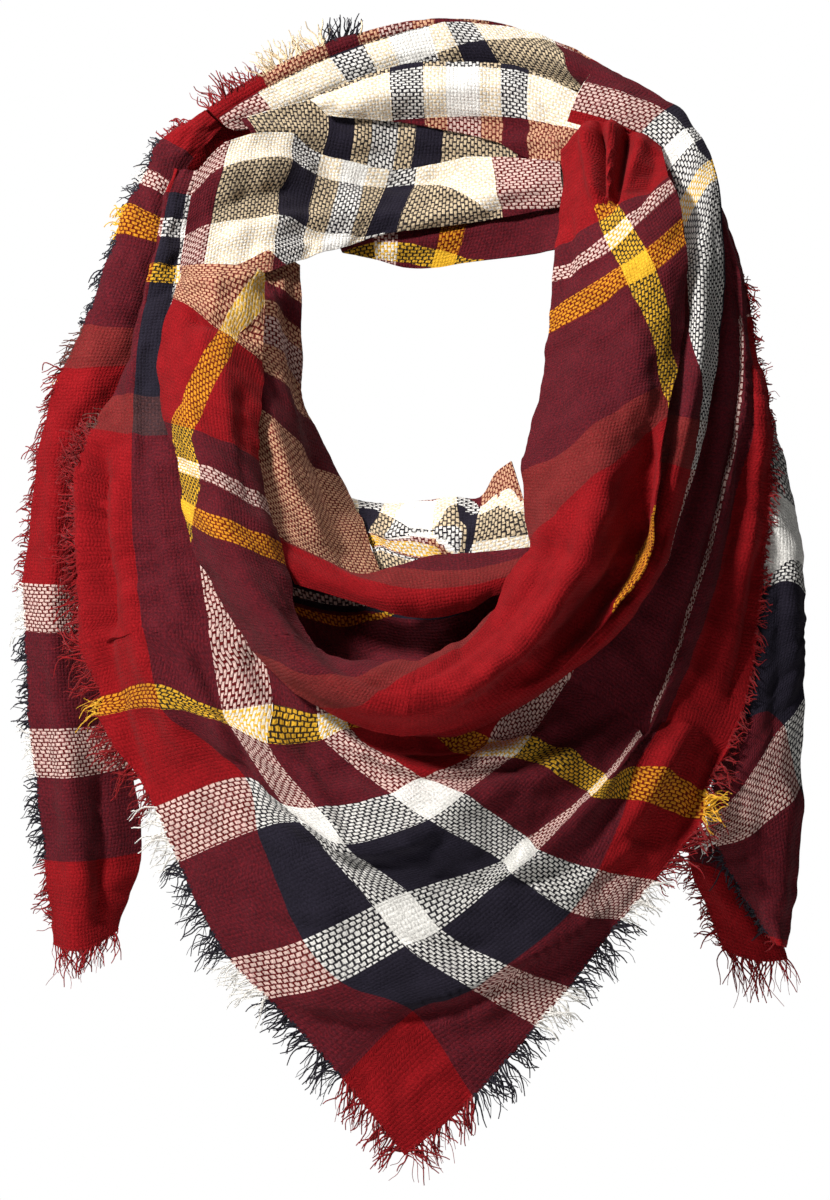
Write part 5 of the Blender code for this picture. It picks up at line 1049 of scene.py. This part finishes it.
# ------------------------------------------------------------------ the materials
class Nodes:
    """A short way to write a material's nodes."""

    def __init__(self, name):
        self.material = bpy.data.materials.new(name)
        self.material.use_nodes = True
        self.tree = self.material.node_tree
        self.shader = self.tree.nodes["Principled BSDF"]

    def add(self, kind, settings=None, **links):
        """A node of a kind, its settings, and what goes into its inputs, by their order."""
        made = self.tree.nodes.new("ShaderNode" + kind)
        for key, value in (settings or {}).items():
            setattr(made, key, value)
        for key, value in links.items():
            self.put(made.inputs[int(key[1:])], value)
        return made

    def put(self, socket, value):
        """A link from another node's output, or a value of the socket's own."""
        if isinstance(value, bpy.types.NodeSocket):
            self.tree.links.new(value, socket)
        elif isinstance(value, bpy.types.Node):
            self.tree.links.new(value.outputs[0], socket)
        else:
            socket.default_value = value

    def math(self, operation, a, b=0.0, clamp=False):
        """A Math node's output."""
        return self.add("Math", {"operation": operation, "use_clamp": clamp}, _0=a, _1=b).outputs[0]

    def times(self, *values):
        """The product of some values."""
        made = values[0]
        for value in values[1:]:
            made = self.math("MULTIPLY", made, value)
        return made

    def minus(self, a, b):
        """A difference."""
        return self.math("SUBTRACT", a, b)

    def apart(self, a):
        """A value without its sign."""
        return self.math("ABSOLUTE", a)

    def step(self, value, low, high, out_low=0.0, out_high=1.0):
        """A smooth step from out_low to out_high."""
        made = self.add("MapRange", {"interpolation_type": "SMOOTHSTEP"}, _0=value, _1=low,
                        _2=high, _3=out_low, _4=out_high)
        return made.outputs[0]

    def mix(self, share, a, b, blend="MIX"):
        """A mixed colour."""
        made = self.add("Mix", {"data_type": "RGBA", "blend_type": blend})
        self.put(made.inputs[0], share)
        self.put(made.inputs[6], a)
        self.put(made.inputs[7], b)
        return made.outputs[2]

    def blend(self, share, a, b):
        """A mixed value."""
        return self.add("Mix", {"data_type": "FLOAT"}, _0=share, _2=a, _3=b).outputs[0]

    def float_of(self, own, other, side):
        """Where a yarn shows: own is its own wave, other the crossing yarns', and side says
        whether it lies on top where both are of one sign or where they differ."""
        over = self.times(self.math("SIGN", own), other, side)
        beside = self.step(self.apart(own), *FLOAT_WIDTH)
        return self.times(self.step(over, *FLOAT_LENGTH), beside)

    def uneven(self, vector, name):
        """A row of UNEVEN, at a vector."""
        scale, detail, roughness, *steps = UNEVEN[name]
        made = self.add("TexNoise", _0=vector, _2=scale, _3=detail, _4=roughness).outputs[0]
        return self.step(made, *steps) if steps else made

    def shaded(self, colour, shade, values):
        """The shader's colour, darkened by a shade, and its other values by their names."""
        grey = self.add("CombineColor", _0=shade, _1=shade, _2=shade)
        self.put(self.shader.inputs["Base Color"], self.mix(1.0, colour, grey, "MULTIPLY"))
        for name, value in values.items():
            self.shader.inputs[name].default_value = value

    def sett(self, place, rows):
        """The yarn at a place along the square's side, as its colour and its nap."""
        ramp = self.add("ValToRGB", _0=self.times(place, 1 / (SPAN * MM)))
        ramp.color_ramp.interpolation = "CONSTANT"
        stops = ramp.color_ramp.elements
        while len(stops) < len(rows):
            stops.new(0.5)
        for k, (start, yarn) in enumerate(rows):
            colour, nap = YARNS[yarn]
            stops[k].position = start / SPAN
            stops[k].color = (*colour, nap)
        return ramp.outputs[0], ramp.outputs[1]


def uv(nodes, name):
    """A UV map's two values, in metres."""
    split = nodes.add("SeparateXYZ", _0=nodes.add("UVMap", {"uv_map": name}))
    return split.outputs[0], split.outputs[1]


# What is uneven about the cloth: a noise's scale, detail and roughness, the heights where its step
# starts and ends, and what the step goes from and to.
UNEVEN = {
    "wobble": (300.0, 2.0, 0.5),                          # how the yarns run
    "mottle": (520.0, 3.0, 0.7, 0.34, 0.68, 0.1, 0.95),   # how far the nap mixes both yarns
    "patches": (85.0, 3.0, 0.5, 0.50, 0.75, 0.0, 0.28),   # more nap in places
    "fleck": (800.0, 3.0, 0.7, 0.28, 0.72, 0.66, 1.30),   # lighter and darker fibres
    "broad": (60.0, 2.0, 0.5, 0.3, 0.7, 0.9, 1.1),        # lighter and darker areas
    "loose": (700.0, 2.0, 0.5, 0.3, 0.7, 0.7, 1.3),       # the same along loose yarn
}
# Where a yarn's float begins and is whole, across the yarn and along it, on the weave's waves.
FLOAT_WIDTH = (0.16, 0.70)
FLOAT_LENGTH = (-0.85, -0.48)
WOBBLE = 2.2         # how unevenly the yarns run
JOINT_SHARE = 0.12   # what a crisp yarn takes on of the yarn that it crosses
NAP_RED = (0.85, 0.66, 0.62, 1.0)  # the tint of a lighter yarn's nap over red
RED_ENDS = (0.2, 0.4)  # from which share of green to red a crossing is less red, and no more red
NAP_HIDES = 0.93     # how much of the weave full nap hides,
NAP_MOST = 0.95      # and the most that it hides with its patches
UNLIKE = (0.3, 0.6)  # from which difference in nap two yarns shade each other, and fully do
SUNK_SHADE = 0.55    # the shade on a dark yarn between a light one's floats
BULGE = 0.6          # how round a yarn is: less is flatter
HEIGHTS = (0.8, 0.6)  # the shares of the yarns and of the fibres in the bump
BUMP = 0.8
BUMP_HEIGHT = 0.6


def cloth_material():
    """Plain weave of the two setts, brushed where both yarns have nap."""
    nodes = Nodes("tartan_cloth")
    l, r = uv(nodes, "Sett")
    colour_l, nap_l = nodes.sett(l, SETT_L)
    colour_r, nap_r = nodes.sett(r, SETT_R)
    weave = nodes.add("UVMap", {"uv_map": "Weave"})
    shift = nodes.times(nodes.minus(nodes.uneven(weave, "wobble"), 0.5), WOBBLE)
    sin_l, sin_r = [
        nodes.math("SINE", nodes.math("ADD", nodes.times(run, math.pi / (pitch * MM)), shift))
        for run, pitch in zip(uv(nodes, "Weave"), (YARN_ALONG, YARN_ACROSS))]
    # a float is longer than it is wide, and the lighter yarn's floats stand proud
    float_l = nodes.float_of(sin_l, sin_r, 1.0)
    float_r = nodes.float_of(sin_r, sin_l, -1.0)
    l_lighter = nodes.math("LESS_THAN", nap_l, nap_r)
    l_shows = nodes.blend(l_lighter, nodes.minus(1.0, float_r), float_l)
    proud = nodes.blend(l_lighter, float_r, float_l)
    joint = nodes.add("Gamma", _0=nodes.mix(1.0, colour_l, colour_r, "MULTIPLY"), _1=0.5)
    crisp = nodes.mix(JOINT_SHARE, nodes.mix(l_shows, colour_r, colour_l), joint)
    # a lighter yarn's nap takes on the red that it crosses
    red, green = nodes.add("SeparateColor", _0=joint).outputs[:2]
    redness = nodes.step(nodes.math("DIVIDE", green, red), *RED_ENDS, 1.0, 0.0)
    crisp = nodes.mix(redness, crisp, NAP_RED, "MULTIPLY")
    mottle = nodes.uneven(weave, "mottle")
    blended = nodes.mix(mottle, joint, nodes.mix(0.5, colour_l, colour_r))
    patches = nodes.uneven(weave, "patches")
    nap = nodes.times(nap_l, nap_r, NAP_HIDES)
    brushed = nodes.math("MINIMUM", nodes.math("ADD", nap, patches, clamp=True), NAP_MOST)
    # a dark yarn between a light one's floats lies in their shade
    unlike = nodes.step(nodes.apart(nodes.minus(nap_l, nap_r)), *UNLIKE)
    sunk = nodes.times(nodes.minus(1.0, proud), nodes.minus(1.0, brushed), unlike)
    shade = nodes.minus(1.0, nodes.times(sunk, SUNK_SHADE))
    fleck = nodes.uneven(weave, "fleck")
    broad = nodes.uneven(weave, "broad")
    nodes.shaded(nodes.mix(brushed, crisp, blended), nodes.times(shade, fleck, broad), {
        "Roughness": 0.92, "Specular IOR Level": 0.08, "Sheen Weight": 0.03,
        "Sheen Roughness": 0.45, "Sheen Tint": (1.0, 0.86, 0.84, 1.0)})
    bulge = nodes.math("POWER", nodes.apart(nodes.times(sin_l, sin_r)), BULGE)
    height = nodes.math("ADD", nodes.times(bulge, HEIGHTS[0]), nodes.times(fleck, HEIGHTS[1]))
    bump = nodes.add("Bump")
    bump.inputs["Strength"].default_value = BUMP
    bump.inputs["Distance"].default_value = BUMP_HEIGHT * MM
    nodes.put(bump.inputs["Height"], height)
    nodes.put(nodes.shader.inputs["Normal"], bump)
    return nodes.material


def yarn_material(name, by_r):
    """Loose yarn of one sett."""
    nodes = Nodes(name)
    l, r = uv(nodes, "Sett")
    colour, _ = nodes.sett(r if by_r else l, SETT_R if by_r else SETT_L)
    place = nodes.add("TexCoord").outputs["Object"]
    shade = nodes.uneven(place, "loose")
    nodes.shaded(colour, shade, {"Roughness": 0.95, "Specular IOR Level": 0.12,
                                 "Sheen Weight": 0.2})
    return nodes.material


# ------------------------------------------------------------------ the studio
# In metres from here on.
CENTRE = Vector((-12.6, -60.0, -208.8)) * MM
FRAME_HEIGHT = 0.720
CAMERA_AWAY = 12.0
SENSOR = 36.0 * MM
FLOOR = -0.9
FLOOR_COLOUR = (0.85, 0.85, 0.84, 1)
AMBIENT = 0.03
LIT = Vector((0, -0.03, -0.15))  # what every light is aimed at
# name: place, size, power, colour
LIGHTS = {
    "key": ((-1.42, -1.46, 1.12), 0.36, 74.0, (1.0, 0.985, 0.96)),
    "fill": ((0.9, -2.1, 0.3), 1.2, 1.5, (0.96, 0.98, 1.0)),
    "top": ((-0.2, 0.0, 1.6), 0.7, 14.0, (1.0, 1.0, 1.0)),
    "behind": ((0.6, 1.8, 0.5), 1.4, 5.0, (1.0, 1.0, 1.0)),
}


def studio():
    """A long lens straight in front, a pale floor and soft light."""
    scene = bpy.context.scene
    camera = bpy.data.cameras.new("camera")
    camera.sensor_width = SENSOR / MM
    camera.lens = SENSOR / MM * CAMERA_AWAY / FRAME_HEIGHT
    camera.clip_end = 100.0
    seen = bpy.data.objects.new("camera", camera)
    seen.location = CENTRE - Vector((0, CAMERA_AWAY, 0))
    seen.rotation_euler = (math.pi / 2, 0, 0)
    scene.collection.objects.link(seen)
    scene.camera = seen
    for name, (place, size, power, colour) in LIGHTS.items():
        light = bpy.data.lights.new(name, "AREA")
        light.size = size
        light.energy = power
        light.color = colour
        lamp = bpy.data.objects.new(name, light)
        lamp.location = place
        lamp.rotation_euler = (LIT - lamp.location).to_track_quat("-Z", "Y").to_euler()
        scene.collection.objects.link(lamp)
    bpy.ops.mesh.primitive_plane_add(size=10.0, location=(0, 0, FLOOR))
    floor = bpy.context.object
    floor.name = "floor"
    paint = bpy.data.materials.new("floor")
    paint.use_nodes = True
    shader = paint.node_tree.nodes["Principled BSDF"]
    shader.inputs["Base Color"].default_value = FLOOR_COLOUR
    shader.inputs["Roughness"].default_value = 0.8
    floor.data.materials.append(paint)
    # the camera sees a white backdrop, which lights nothing
    world = bpy.data.worlds.new("studio")
    world.use_nodes = True
    tree = world.node_tree
    soft = tree.nodes["Background"]
    white = tree.nodes.new("ShaderNodeBackground")
    for backdrop, strength in ((soft, AMBIENT), (white, 1.0)):
        backdrop.inputs["Color"].default_value = (1, 1, 1, 1)
        backdrop.inputs["Strength"].default_value = strength
    path = tree.nodes.new("ShaderNodeLightPath")
    choose = tree.nodes.new("ShaderNodeMixShader")
    tree.links.new(path.outputs["Is Camera Ray"], choose.inputs[0])
    tree.links.new(soft.outputs[0], choose.inputs[1])
    tree.links.new(white.outputs[0], choose.inputs[2])
    tree.links.new(choose.outputs[0], tree.nodes["World Output"].inputs["Surface"])
    scene.world = world
    scene.view_settings.view_transform = "Standard"


# ------------------------------------------------------------------ the scarf
def main():
    """The whole scarf."""
    cloth = cloth_material()
    yarns = {False: yarn_material("yarn_l", False), True: yarn_material("yarn_r", True)}
    made = shells()
    fringes = {name: add_fringe(name, made, yarns) for name in FRINGES}
    for name, (grid, rows, columns) in made.items():
        shell = add_shell(name, grid, rows, columns, cloth)


main()
studio()
